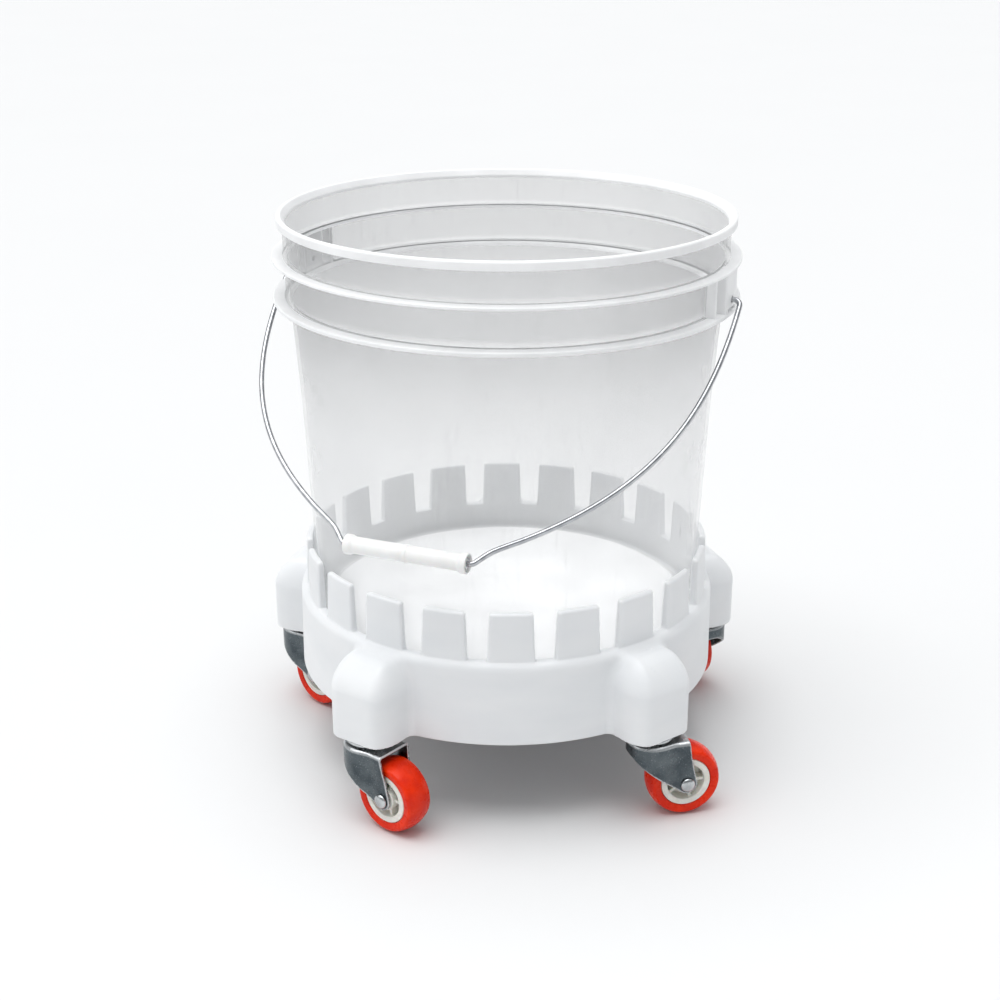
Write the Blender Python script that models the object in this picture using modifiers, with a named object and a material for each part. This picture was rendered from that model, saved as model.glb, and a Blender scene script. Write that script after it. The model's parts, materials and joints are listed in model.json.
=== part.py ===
"""Wash bucket: a clear 3.5 gallon pail standing in a round dolly with five swivel castors.

Metres, +Z up. The origin is on the floor, under the axis that the pail and the dolly share.
An azimuth is counted from the front (-Y) towards +X, seen from above anticlockwise.
"""

import math

import bmesh
import bpy
from mathutils import Matrix, Vector

GAP = 0.0003  # air left between two pieces that touch

# Heights above the floor
POD_BASE = 0.0617
DECK_TOP = 0.0990
SHELF = 0.1193
TEETH_TOP = 0.1529
RIM_TOP = 0.3826

# Dolly
TEETH = 20
TOOTH_FACE = 0.1420
TOOTH_LEAN = 0.0007  # inwards, at the teeth's tops
RING_BORE = 0.1370
BORE_DRAFT = 0.0006  # narrower, at the deck
SKIRT_RADIUS = 0.1470
SKIRT_TOP_RADIUS = 0.1464
SKIRT_WALL = 0.0030
SHELF_ROUND = 0.0040
DECK_THICKNESS = 0.0030
DECK_HOLE = 0.0450
GAP_WIDTH = 0.0131  # between two teeth, at the shelf
GAP_FLARE = 0.0012  # more on each side, at the teeth's tops
RIB_DEPTH = 0.0160
RIB_HALF_WIDTH = 0.0015
RIB_END = 0.1440
CUTTER_SPARE = 0.0050  # how far a cutter runs past the face that it opens

# Castor pods
CASTORS = {  # azimuth of the pod, azimuth that the wheel trails to
    "front_left": (-36, 49),
    "front_right": (36, 102),
    "right": (108, 204),
    "rear": (180, 300),
    "left": (-108, 45),
}
SWIVEL_RADIUS = 0.1590
POD_END = 0.1755
POD_HALF_WIDTH = 0.0245
POD_CORNER = 0.0125
POD_SHOULDER = 0.0961
POD_CREST = 0.1171
POD_END_ROLL = 0.0200  # how far the end leans in from shoulder to crest
POD_SIDE_ROLL = 0.0125
POD_ROOT = 0.1420
POD_WALL = 0.0030
HOLLOW_ROOT = 0.1370  # below the deck, where a pod opens to the underside
HOLLOW_BACK = 0.1462  # above it, where the skirt's wall closes the pod
HOLLOW_DROP = 0.0030  # from the deck's underside to where the hollow steps back
BOSS_RADIUS = 0.0100
BOSS_DROP = 0.0080
BORE_TOP = 0.0880

# Pail
BUCKET_BASE = DECK_TOP + GAP
BUCKET_FLOOR = BUCKET_BASE + 0.0025
WALL = 0.0022
RIM_RADIUS = 0.1520
RIM_INNER = 0.1472
RIM_DEPTH = 0.0060
RIM_ROUND = 0.0008
NECK = (0.1472, 0.1478, 0.1480, 0.1484)  # outside of the wall, from the low flange to the rim
WALL_STATIONS = ((0.1036, 0.1334), (0.2560, 0.1400), (0.3106, 0.1438), (0.3261, 0.1452))
BASE_BEVEL = ((0.1290, 0.0), (0.1318, 0.0011))  # radius and height over the base
FLOOR_CORNER = ((0.1285, 0.0), (0.1312, 0.0025))  # the same over the floor, inside
FLANGE_RADIUS = 0.1560
LOW_FLANGE = (0.3261, 0.3291)
HIGH_FLANGE = (0.3541, 0.3561)
EAR_AZIMUTH = 66.5
EAR_FACE = 0.1556
EAR_HALF_WIDTH = 0.0120
EAR_ROOT = 0.1462
EAR_RIB_AT = 0.0240
EAR_RIB_HALF_WIDTH = 0.0010
EAR_RIB_FACE = 0.1535
EAR_HOLE = 0.0021
EAR_BITE = 0.0010  # how far a lug runs into each flange
PIVOT_HEIGHT = 0.3364

# Bail, as distances along its pivot axis and away from it
WIRE_RADIUS = 0.00175
BAIL_SWING = 50  # degrees from hanging straight down, towards the front
LEG_AT = 0.1614
STUB_END = 0.1488
EAR_BEND = 0.0050
SWEEP_END = (0.0539, 0.2023)
SWEEP_SLOPE = 30.4
SWEEP_PULLS = (0.0861, 0.1010)
STEP_SLOPE = 48
GRIP_DROP = 0.2131
GRIP_HALF_LENGTH = 0.0415
GRIP_BEND = 0.0050
GRIP_RADIUS = 0.0055
GRIP_COLLAR = 0.0065
GRIP_COLLAR_LENGTH = 0.0030
GRIP_COLLAR_SLOPE = 0.0020
GRIP_SPARE = 0.0005  # wire left straight past the grip's end

# Castors
WHEEL_RADIUS = 0.0250
TREAD_HALF_WIDTH = 0.0103
TREAD_BORE = 0.0173
TREAD_SIDES = 24
HUB_HALF_WIDTH = 0.0100
HUB_BORE = 0.0049
HUB_BARREL = 0.0075
HUB_RIM = 0.0142
HUB_WEB_HALF = 0.0015
HUB_RIM_INSET = 0.0004
TRAIL = 0.0220
CROWN_TOP = 0.0574
SHEET = 0.0018
FORK_HALF_WIDTH = 0.0128
FORK_NOSE = 0.0170
FORK_REAR = 0.0210
FORK_END_RADIUS = 0.0068
NOSE_AT = -0.0180
NOSE_DEPTH = 0.0075
FORK_BLANK = 0.0400  # size of the blocks that the fork's shape is cut from
STEM_RADIUS = 0.0040
STEM_TOP = 0.0850
STEM_CHAMFER = 0.0008
STEM_HEAD_RADIUS = 0.0062
STEM_HEAD_DEPTH = 0.0020
NUT_RADIUS = 0.0075
NUT_TOP = 0.0685
WASHER_RADIUS = 0.0095
WASHER_THICKNESS = 0.0010
CUP_RADIUS = 0.0150
CUP_LIP = 0.0014
CUP_DEPTH = 0.0022
CUP_SHEET = 0.0012
BALL_CIRCLE = 0.0115
AXLE_RADIUS = 0.0030
SLEEVE_RADIUS = 0.0046
SLEEVE_HALF_LENGTH = 0.0107
RIVET_HEAD = 0.0049
RIVET_DOME = 0.0026


def clear_scene():
    for old in list(bpy.data.objects):
        bpy.data.objects.remove(old, do_unlink=True)


def new_collection(name):
    group = bpy.data.collections.new(name)
    bpy.context.scene.collection.children.link(group)
    return group


def material(name, colour, roughness, metallic=0.0, alpha=1.0):
    made = bpy.data.materials.new(name)
    made.use_nodes = True
    shader = made.node_tree.nodes["Principled BSDF"]
    shader.inputs["Base Color"].default_value = (*colour, 1.0)
    shader.inputs["Roughness"].default_value = roughness
    shader.inputs["Metallic"].default_value = metallic
    shader.inputs["Alpha"].default_value = alpha
    return made


clear_scene()
PARTS = new_collection("wash_bucket")
CUTTERS = new_collection("cutters")
DOLLY_WHITE = material("dolly_white", (0.84, 0.85, 0.86), 0.42)
CLEAR_PAIL = material("clear_pail", (0.80, 0.81, 0.82), 0.25, alpha=0.45)
GRIP_WHITE = material("grip_white", (0.88, 0.88, 0.87), 0.45)
BRIGHT_WIRE = material("bright_wire", (0.62, 0.63, 0.65), 0.25, 1.0)
ZINC = material("zinc_plate", (0.33, 0.36, 0.38), 0.32, 1.0)
STEEL = material("steel", (0.45, 0.46, 0.47), 0.35, 1.0)
NYLON = material("nylon", (0.76, 0.74, 0.68), 0.50)
TREAD_RED = material("tread_red", (0.80, 0.04, 0.01), 0.35)


def direction(azimuth):
    """The level unit vector at this azimuth."""
    angle = math.radians(azimuth)
    return Vector((math.sin(angle), -math.cos(angle), 0.0))


def facing(azimuth, at=0.0, height=0.0):
    """Local +X points outwards at this azimuth, from a point on that radius."""
    place = direction(azimuth) * at + Vector((0.0, 0.0, height))
    return Matrix.Translation(place) @ Matrix.Rotation(math.radians(azimuth - 90), 4, "Z")


def add(name, mesh, finish, matrix=None, parent=None):
    """A part if it has a finish, else a cutter or a piece to be joined on."""
    obj = bpy.data.objects.new(name, mesh)
    (PARTS if finish else CUTTERS).objects.link(obj)
    if finish:
        mesh.materials.clear()
        mesh.materials.append(finish)
        mesh.shade_smooth()
        mesh.set_sharp_from_angle(angle=math.radians(35))
    else:
        obj.hide_render = True
        obj.display_type = "WIRE"
    if parent:
        obj.parent = parent
    if matrix:
        obj.matrix_local = matrix
    return obj


def empty(name, matrix, parent=None):
    obj = bpy.data.objects.new(name, None)
    PARTS.objects.link(obj)
    obj.parent = parent
    obj.matrix_local = matrix
    return obj


def boolean(target, other, operation):
    modifier = target.modifiers.new(f"{operation.lower()} {other.name}", "BOOLEAN")
    modifier.operation = operation
    modifier.object = other


def turned_mesh(name, profile, ring, steps):
    """The mesh of a profile turned about Z. A ring's profile closes on itself, clear of the axis."""
    mesh = bpy.data.meshes.new(name)
    edges = [(i, i + 1) for i in range(len(profile) - 1)]
    if ring:
        edges.append((len(profile) - 1, 0))
    mesh.from_pydata([(radius, 0.0, height) for radius, height in profile], edges, [])
    blank = bpy.data.objects.new(name, mesh)
    bpy.context.scene.collection.objects.link(blank)
    screw = blank.modifiers.new("turn", "SCREW")
    screw.steps = screw.render_steps = steps
    screw.use_merge_vertices = True
    screw.merge_threshold = 0.00001
    bpy.context.view_layer.update()
    graph = bpy.context.evaluated_depsgraph_get()
    turned = bpy.data.meshes.new_from_object(blank.evaluated_get(graph))
    turned.name = name
    bpy.data.objects.remove(blank, do_unlink=True)
    return turned


def cylinder_mesh(name, radius, low, high, sides, turn=0.0):
    bm = bmesh.new()
    place = Matrix.Translation((0, 0, (low + high) / 2)) @ Matrix.Rotation(turn, 4, "Z")
    bmesh.ops.create_cone(
        bm, cap_ends=True, segments=sides, radius1=radius, radius2=radius, depth=high - low, matrix=place
    )
    return finished(bm, name)


def box_mesh(name, low, high, flare=0.0):
    """A box between two corners, its top wider by flare on both sides along Y."""
    bm = bmesh.new()
    size = Vector(high) - Vector(low)
    middle = (Vector(high) + Vector(low)) / 2
    bmesh.ops.create_cube(bm, size=1, matrix=Matrix.Translation(middle) @ Matrix.Diagonal((*size, 1)))
    for vert in bm.verts:
        if flare and vert.co.z > middle.z:
            vert.co.y += math.copysign(flare, vert.co.y)
    return finished(bm, name)


def prism_mesh(name, outline, low, high):
    """An outline in X and Y, drawn out from low to high along Z."""
    bm = bmesh.new()
    face = bm.faces.new([bm.verts.new((x, y, low)) for x, y in outline])
    grown = bmesh.ops.extrude_face_region(bm, geom=[face])["geom"]
    raised = [item for item in grown if isinstance(item, bmesh.types.BMVert)]
    bmesh.ops.translate(bm, verts=raised, vec=(0, 0, high - low))
    return finished(bm, name)


def loft_mesh(name, levels):
    """A closed skin over outlines of equal count, each given with its height."""
    bm = bmesh.new()
    rings = [[bm.verts.new((x, y, height)) for x, y in outline] for outline, height in levels]
    for below, above in zip(rings, rings[1:]):
        for i in range(len(below)):
            bm.faces.new((below[i - 1], below[i], above[i], above[i - 1]))
    bm.faces.new(rings[0])
    bm.faces.new(rings[-1])
    return finished(bm, name)


def finished(bm, name):
    bmesh.ops.recalc_face_normals(bm, faces=bm.faces)
    mesh = bpy.data.meshes.new(name)
    bm.to_mesh(mesh)
    bm.free()
    return mesh


def arc(centre, radius, start, end, count):
    """Points on an arc, from one angle in degrees to the other."""
    angles = [math.radians(start + (end - start) * i / (count - 1)) for i in range(count)]
    return [(centre[0] + radius * math.cos(a), centre[1] + radius * math.sin(a)) for a in angles]


# Dolly


def lobe(inner, end, half_width, corner):
    """A pod's outline seen from above, its flat end at +X between two round corners."""
    low = arc((end - corner, -half_width + corner), corner, -90, 0, 4)
    high = arc((end - corner, half_width - corner), corner, 0, 90, 4)
    return [(inner, -half_width), *low, *high, (inner, half_width)]


def dome_levels(wall, root):
    """Outlines of a pod's rolled-over top. A wall of 0 gives its outside, else its hollow."""
    levels = []
    for slope in (0, 30, 60, 90):
        lean = 1 - math.cos(math.radians(slope))
        rise = math.sin(math.radians(slope))
        end, half_width = POD_END - wall - POD_END_ROLL * lean, POD_HALF_WIDTH - wall - POD_SIDE_ROLL * lean
        corner = min(POD_CORNER - wall / 2, half_width - 0.001)
        height = POD_SHOULDER + (POD_CREST - wall - POD_SHOULDER) * rise
        levels.append((lobe(root, end, half_width, corner), height))
    return levels


def pod_block_levels():
    dome = dome_levels(0.0, POD_ROOT)
    return [(dome[0][0], POD_BASE), *dome]


def pod_hollow_levels():
    """Open to the underside below the deck, and stopped by the skirt's wall above it."""
    step = DECK_TOP - DECK_THICKNESS - HOLLOW_DROP
    below, above = dome_levels(POD_WALL, HOLLOW_ROOT)[0][0], dome_levels(POD_WALL, HOLLOW_BACK)
    return [(below, POD_BASE - CUTTER_SPARE), (below, step), (above[0][0], step + GAP), *above]


def dolly_ring():
    """Skirt, shelf, toothed collar and deck, with five hollow pods and their stem bosses."""
    under = DECK_TOP - DECK_THICKNESS
    round_centre = (SKIRT_TOP_RADIUS - SHELF_ROUND, SHELF - SHELF_ROUND)
    profile = [
        (TOOTH_FACE - TOOTH_LEAN, TEETH_TOP),
        (TOOTH_FACE, SHELF),
        *arc(round_centre, SHELF_ROUND, 90, 0, 4),
        (SKIRT_RADIUS, POD_BASE),
        (SKIRT_RADIUS - SKIRT_WALL, POD_BASE),
        (SKIRT_TOP_RADIUS - SKIRT_WALL, under),
        (DECK_HOLE, under),
        (DECK_HOLE, DECK_TOP),
        (RING_BORE - BORE_DRAFT, DECK_TOP),
        (RING_BORE, TEETH_TOP),
    ]
    ring = add("dolly_ring", turned_mesh("dolly_ring", profile, True, 60), DOLLY_WHITE)

    gaps = bmesh.new()
    for k in range(TEETH):
        low = (RING_BORE - CUTTER_SPARE, -GAP_WIDTH / 2, SHELF)
        high = (TOOTH_FACE + CUTTER_SPARE, GAP_WIDTH / 2, TEETH_TOP + CUTTER_SPARE)
        wedge = box_mesh("tooth_gap", low, high, GAP_FLARE)
        wedge.transform(facing((k + 0.5) * 360 / TEETH))
        gaps.from_mesh(wedge)
        bpy.data.meshes.remove(wedge)
    boolean(ring, add("tooth_gaps", finished(gaps, "tooth_gaps"), None), "DIFFERENCE")

    below = POD_BASE - CUTTER_SPARE
    block = loft_mesh("pod_block", pod_block_levels())
    hollow = loft_mesh("pod_hollow", pod_hollow_levels())
    boss = cylinder_mesh("stem_boss", BOSS_RADIUS, POD_BASE, POD_CREST - BOSS_DROP, 20)
    bore = cylinder_mesh("stem_bore", STEM_RADIUS + GAP, below, BORE_TOP, 12)
    seat = NUT_RADIUS + GAP / math.cos(math.pi / 6)
    pocket = cylinder_mesh("nut_pocket", seat, below, NUT_TOP + GAP, 6, math.pi / 6)
    rib_corner = (RIB_END, RIB_HALF_WIDTH, under + DECK_THICKNESS / 2)
    rib = box_mesh("deck_rib", (DECK_HOLE, -RIB_HALF_WIDTH, under - RIB_DEPTH), rib_corner)
    azimuths = [pod for pod, _ in CASTORS.values()]
    for azimuth in azimuths:
        boolean(ring, add(f"pod_block_{azimuth}", block, None, facing(azimuth)), "UNION")
    for azimuth in azimuths:
        boolean(ring, add(f"pod_hollow_{azimuth}", hollow, None, facing(azimuth)), "DIFFERENCE")
    for azimuth in azimuths:
        on_swivel = facing(azimuth, SWIVEL_RADIUS)
        boolean(ring, add(f"stem_boss_{azimuth}", boss, None, on_swivel), "UNION")
        boolean(ring, add(f"stem_bore_{azimuth}", bore, None, on_swivel), "DIFFERENCE")
        boolean(ring, add(f"nut_pocket_{azimuth}", pocket, None, on_swivel), "DIFFERENCE")
        boolean(ring, add(f"deck_rib_{azimuth}", rib, None, facing(azimuth)), "UNION")


# Pail, bail and grip


def pail_profile():
    """The pail's section, from its rim down the outside and up the inside, as radius and height."""
    low, high = LOW_FLANGE, HIGH_FLANGE
    rim_base = RIM_TOP - RIM_DEPTH
    outside = [
        (RIM_RADIUS - RIM_ROUND, RIM_TOP),
        (RIM_RADIUS, RIM_TOP - RIM_ROUND),
        (RIM_RADIUS, rim_base + RIM_ROUND),
        (RIM_RADIUS - RIM_ROUND, rim_base),
        (NECK[3], rim_base),
        (NECK[2], high[1]),
        (FLANGE_RADIUS, high[1]),
        (FLANGE_RADIUS, high[0]),
        (NECK[1], high[0]),
        (NECK[0], low[1]),
        (FLANGE_RADIUS, low[1]),
        (FLANGE_RADIUS, low[0]),
        *[(radius, height) for height, radius in reversed(WALL_STATIONS)],
        *[(radius, BUCKET_BASE + rise) for radius, rise in reversed(BASE_BEVEL)],
        (0.0, BUCKET_BASE),
    ]
    inside = [
        (0.0, BUCKET_FLOOR),
        *[(radius, BUCKET_FLOOR + rise) for radius, rise in FLOOR_CORNER],
        *[(radius - WALL, height) for height, radius in WALL_STATIONS[1:]],
        (NECK[0] - WALL, low[1]),
        (NECK[3] - WALL, rim_base),
        (RIM_INNER, RIM_TOP - RIM_ROUND),
        (RIM_INNER + RIM_ROUND, RIM_TOP),
    ]
    return [*outside, *inside, outside[0]]


def bucket_shell(parent):
    shell_mesh = turned_mesh("bucket_shell", pail_profile(), False, 40)
    bm = bmesh.new()
    bm.from_mesh(shell_mesh)
    bmesh.ops.remove_doubles(bm, verts=bm.verts, dist=0.00001)
    bm.to_mesh(shell_mesh)
    bm.free()
    level = Matrix.Translation((0, 0, -BUCKET_BASE))
    shell = add("bucket_shell", shell_mesh, CLEAR_PAIL, level, parent)

    base, top = LOW_FLANGE[1] - EAR_BITE, HIGH_FLANGE[0] + EAR_BITE
    lug = box_mesh("ear_lug", (EAR_ROOT, -EAR_HALF_WIDTH, base), (EAR_FACE, EAR_HALF_WIDTH, top))
    thin = EAR_RIB_HALF_WIDTH
    rib = box_mesh("ear_rib", (EAR_ROOT, -thin, base), (EAR_RIB_FACE, thin, top))
    through = EAR_FACE - EAR_ROOT
    hole = cylinder_mesh("ear_hole", EAR_HOLE, -through, through, 12)
    rib_turn = math.degrees(EAR_RIB_AT / EAR_RIB_FACE)
    for name, azimuth in (("right", EAR_AZIMUTH), ("left", EAR_AZIMUTH + 180)):
        boolean(shell, add(f"ear_lug_{name}", lug, None, level @ facing(azimuth), parent), "UNION")
        for side in (-1, 1):
            place = level @ facing(azimuth + side * rib_turn)
            boolean(shell, add(f"ear_rib_{name}_{side}", rib, None, place, parent), "UNION")
        drill = facing(azimuth, EAR_FACE, PIVOT_HEIGHT) @ Matrix.Rotation(math.pi / 2, 4, "Y")
        boolean(shell, add(f"ear_hole_{name}", hole, None, level @ drill, parent), "DIFFERENCE")


def bezier(points, count):
    """Points along a cubic Bezier curve, its ends included."""
    a, b, c, d = (Vector(point) for point in points)
    spots = [i / (count - 1) for i in range(count)]
    return [a * (1 - t) ** 3 + 3 * b * t * (1 - t) ** 2 + 3 * c * t * t * (1 - t) + d * t**3 for t in spots]


def bail_half():
    """Half of the bail's centre line, from the grip's middle to its hooked end in the ear.

    Each point is a distance along the pivot axis and one away from it.
    """
    step = math.radians(STEP_SLOPE)
    bend_start = GRIP_HALF_LENGTH + GRIP_SPARE
    into_step = arc((bend_start, GRIP_DROP - GRIP_BEND), GRIP_BEND, 90, 90 - STEP_SLOPE, 4)
    slope = math.radians(SWEEP_SLOPE)
    leg_top = (LEG_AT, 1.2 * EAR_BEND)
    pull = (LEG_AT, leg_top[1] + SWEEP_PULLS[0])
    lead = (
        SWEEP_END[0] + SWEEP_PULLS[1] * math.cos(slope),
        SWEEP_END[1] - SWEEP_PULLS[1] * math.sin(slope),
    )
    run = (SWEEP_END[0] - into_step[-1][0]) / 5
    before = (SWEEP_END[0] - run, SWEEP_END[1] + run * math.tan(step))
    sweep = [tuple(point) for point in bezier((SWEEP_END, lead, pull, leg_top), 16)]
    into_ear = arc((LEG_AT - EAR_BEND, EAR_BEND), EAR_BEND, 0, -90, 4)
    return [(0.0, GRIP_DROP), *into_step, before, *sweep[1:], *into_ear, (STUB_END, 0.0)]


def bail_wire(parent):
    """The bail hangs in its parent's XZ plane: X is the pivot axis, -Z is away from it."""
    half = bail_half()
    line = [(-s, d) for s, d in reversed(half[1:])] + half
    curve = bpy.data.curves.new("bail_wire", "CURVE")
    curve.dimensions = "3D"
    curve.bevel_depth = WIRE_RADIUS
    curve.bevel_resolution = 2
    curve.use_fill_caps = True
    spline = curve.splines.new("POLY")
    spline.points.add(len(line) - 1)
    for point, (along, away) in zip(spline.points, line):
        point.co = (along, 0.0, -away, 1.0)
    curve.materials.append(BRIGHT_WIRE)
    wire = bpy.data.objects.new("bail_wire", curve)
    PARTS.objects.link(wire)
    wire.parent = parent


def bail_grip(parent):
    """A hollow moulded handle that turns on the wire."""
    bore, half = WIRE_RADIUS + GAP, GRIP_HALF_LENGTH
    collar = half - GRIP_COLLAR_LENGTH
    upper = [(GRIP_COLLAR, half), (GRIP_COLLAR, collar), (GRIP_RADIUS, collar - GRIP_COLLAR_SLOPE)]
    lower = [(radius, -along) for radius, along in reversed(upper)]
    profile = [*upper, *lower, (bore, -half), (bore, half)]
    along_axis = Matrix.Rotation(math.pi / 2, 4, "Y")
    add("bail_grip", turned_mesh("bail_grip", profile, True, 16), GRIP_WHITE, along_axis, parent)


# Castors, each in a frame with +X towards the axle, on the swivel axis at floor level


def fork_plan(half_width, nose, end):
    """A straight-sided outline with a round nose at -X and a flat end at +X."""
    side = math.degrees(math.asin(half_width / nose))
    return [*arc((0, 0), nose, 180 - side, 180 + side, 9), (end, -half_width), (end, half_width)]


def fork_meshes():
    """The fork's outside seen from above, its side view and its inside, which together shape it."""
    outside = fork_plan(FORK_HALF_WIDTH, FORK_NOSE, FORK_BLANK)
    inside = fork_plan(FORK_HALF_WIDTH - SHEET, FORK_NOSE - SHEET, FORK_BLANK + SHEET)
    side = [
        (NOSE_AT, -CROWN_TOP),
        (NOSE_AT, -CROWN_TOP + NOSE_DEPTH),
        *arc((TRAIL, -WHEEL_RADIUS), FORK_END_RADIUS, 128, -12, 10),
        (FORK_REAR, -CROWN_TOP),
    ]
    return (
        prism_mesh("fork_outside", outside, FORK_END_RADIUS, CROWN_TOP),
        prism_mesh("fork_side", side, -FORK_BLANK / 2, FORK_BLANK / 2),
        prism_mesh("fork_inside", inside, FORK_END_RADIUS - SHEET, CROWN_TOP - SHEET),
    )


def rivet_profile():
    """A shaft with a domed head on each end, lengthwise along Z."""
    seat = FORK_HALF_WIDTH + GAP
    slope = math.radians(45)
    shoulder = (RIVET_HEAD * math.cos(slope), seat + RIVET_DOME * math.sin(slope))
    top = [(0.0, seat + RIVET_DOME), shoulder, (RIVET_HEAD, seat), (AXLE_RADIUS, seat)]
    return [*top, *[(r, -h) for r, h in reversed(top)]]


def hub_profile():
    """Barrel, thin web and rim, as a closed ring section."""
    width, rim_width = HUB_HALF_WIDTH, HUB_HALF_WIDTH - HUB_RIM_INSET
    above = [
        (HUB_BORE, width),
        (HUB_BARREL, width),
        (HUB_BARREL, HUB_WEB_HALF),
        (HUB_RIM, HUB_WEB_HALF),
        (HUB_RIM, rim_width),
        (TREAD_BORE - GAP, rim_width),
    ]
    return above + [(radius, -along) for radius, along in reversed(above)]


def tread_profile():
    """A band with round shoulders, whose flats lie on the wheel's radius."""
    reach = 1 / math.cos(math.pi / TREAD_SIDES)
    shoulder = [
        (reach * (WHEEL_RADIUS - drop), TREAD_HALF_WIDTH - inset)
        for drop, inset in ((0.0040, 0.0), (0.0014, 0.0011), (0.0, 0.0043))
    ]
    inner = (TREAD_BORE, TREAD_HALF_WIDTH - 0.0006)
    upper = [inner, *shoulder]
    return upper + [(radius, -along) for radius, along in reversed(upper)]


def bored(name, outer, hole, low, high, sides):
    """A washer, sleeve or nut: a round or many-sided body with a hole that its flats clear."""
    inner = hole / math.cos(math.pi / sides)
    profile = [(outer, high), (outer, low), (inner, low), (inner, high)]
    return turned_mesh(name, profile, True, sides)


def castor_meshes():
    washer_top = CROWN_TOP - SHEET - GAP
    washer_base = washer_top - WASHER_THICKNESS
    stem_head = washer_base - GAP
    stem = [
        (0.0, STEM_TOP),
        (STEM_RADIUS - STEM_CHAMFER, STEM_TOP),
        (STEM_RADIUS, STEM_TOP - STEM_CHAMFER),
        (STEM_RADIUS, stem_head),
        (STEM_HEAD_RADIUS, stem_head),
        (STEM_RADIUS, stem_head - STEM_HEAD_DEPTH),
        (0.0, stem_head - STEM_HEAD_DEPTH),
    ]
    hole = STEM_RADIUS + GAP
    cup_top = POD_BASE - GAP
    cup_under = cup_top - CUP_SHEET
    race = [
        (CUP_RADIUS, cup_top),
        (CUP_RADIUS, cup_top - CUP_DEPTH),
        (CUP_RADIUS - CUP_LIP, cup_top - CUP_DEPTH),
        (CUP_RADIUS - CUP_LIP, cup_under),
        (hole, cup_under),
        (hole, cup_top),
    ]
    ball_radius = (cup_under - CROWN_TOP) / 2 - GAP
    balls = arc((BALL_CIRCLE, (cup_under + CROWN_TOP) / 2), ball_radius, 60, -240, 6)
    return {
        "insert_nut": (bored("insert_nut", NUT_RADIUS, hole, POD_BASE + GAP, NUT_TOP, 6), STEEL),
        "stem": (turned_mesh("stem", stem, False, 12), STEEL),
        "race_cup": (turned_mesh("race_cup", race, True, 20), ZINC),
        "ball_ring": (turned_mesh("ball_ring", balls, True, 16), STEEL),
        "thrust_washer": (bored("thrust_washer", WASHER_RADIUS, hole, washer_base, washer_top, 16), STEEL),
    }


def castor(name, pod_azimuth, trail_azimuth, meshes):
    for piece, (mesh, finish) in meshes.items():
        add(f"{piece}_{name}", mesh, finish, facing(pod_azimuth, SWIVEL_RADIUS))

    turn = Matrix.Rotation(math.radians(trail_azimuth - 90), 4, "Z")
    at_pod = Matrix.Translation(direction(pod_azimuth) * SWIVEL_RADIUS)
    swivel = empty(f"swivel_{name}", at_pod @ turn)
    outside, side, inside = fork_meshes()
    fork = add(f"fork_{name}", outside, ZINC, None, swivel)
    on_side = Matrix.Rotation(-math.pi / 2, 4, "X")
    boolean(fork, add(f"fork_side_{name}", side, None, on_side, swivel), "INTERSECT")
    boolean(fork, add(f"fork_inside_{name}", inside, None, None, swivel), "DIFFERENCE")
    crown = (CROWN_TOP - SHEET - CUTTER_SPARE, CROWN_TOP + CUTTER_SPARE)
    stem_hole = cylinder_mesh("fork_stem_hole", STEM_RADIUS + GAP, *crown, 12)
    boolean(fork, add(f"fork_stem_hole_{name}", stem_hole, None, None, swivel), "DIFFERENCE")

    across = Matrix.Translation((TRAIL, 0, WHEEL_RADIUS)) @ Matrix.Rotation(-math.pi / 2, 4, "X")
    hub = empty(f"wheel_{name}", across, swivel)
    axle_hole = cylinder_mesh("fork_axle_hole", AXLE_RADIUS + GAP, -FORK_BLANK / 2, FORK_BLANK / 2, 12)
    boolean(fork, add(f"fork_axle_hole_{name}", axle_hole, None, None, hub), "DIFFERENCE")
    sleeve_hole, sleeve_end = AXLE_RADIUS + GAP, SLEEVE_HALF_LENGTH
    sleeve = bored("axle_sleeve", SLEEVE_RADIUS, sleeve_hole, -sleeve_end, sleeve_end, 12)
    rounds = {
        "axle_rivet": (turned_mesh("axle_rivet", rivet_profile(), False, 12), ZINC),
        "axle_sleeve": (sleeve, STEEL),
        "wheel_core": (turned_mesh("wheel_core", hub_profile(), True, 16), NYLON),
    }
    for piece, (mesh, finish) in rounds.items():
        add(f"{piece}_{name}", mesh, finish, None, hub)
    flat_down = Matrix.Rotation(math.pi / TREAD_SIDES, 4, "Z")
    tread = turned_mesh("wheel_tread", tread_profile(), True, TREAD_SIDES)
    add(f"wheel_tread_{name}", tread, TREAD_RED, flat_down, hub)


def main():
    dolly_ring()
    bucket = empty("bucket_lift", Matrix.Translation((0, 0, BUCKET_BASE)))
    bucket_shell(bucket)
    # The pivot's +X points to the right ear, and its -Z down the bail.
    swing = facing(EAR_AZIMUTH, 0.0, PIVOT_HEIGHT - BUCKET_BASE) @ Matrix.Rotation(
        -math.radians(BAIL_SWING), 4, "X"
    )
    bail = empty("bail_swing", swing, bucket)
    bail_wire(bail)
    bail_grip(empty("grip_spin", Matrix.Translation((0, 0, -GRIP_DROP)), bail))
    meshes = castor_meshes()
    for name, (pod_azimuth, trail_azimuth) in CASTORS.items():
        castor(name, pod_azimuth, trail_azimuth, meshes)


main()
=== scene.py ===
"""Looks of the wash bucket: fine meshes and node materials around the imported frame.

Metres, +Z up, in the frame's own axes. An azimuth is counted from the front (-Y) towards +X.
Castor pieces are made once, in a frame whose +X runs from the swivel axis to the axle, and wheel
pieces in one whose Z is the axle, and each is then placed at its own joint.
"""

import json
import math
from itertools import product

import bmesh
import bpy
import numpy as np
from mathutils import Matrix, Vector


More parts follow.
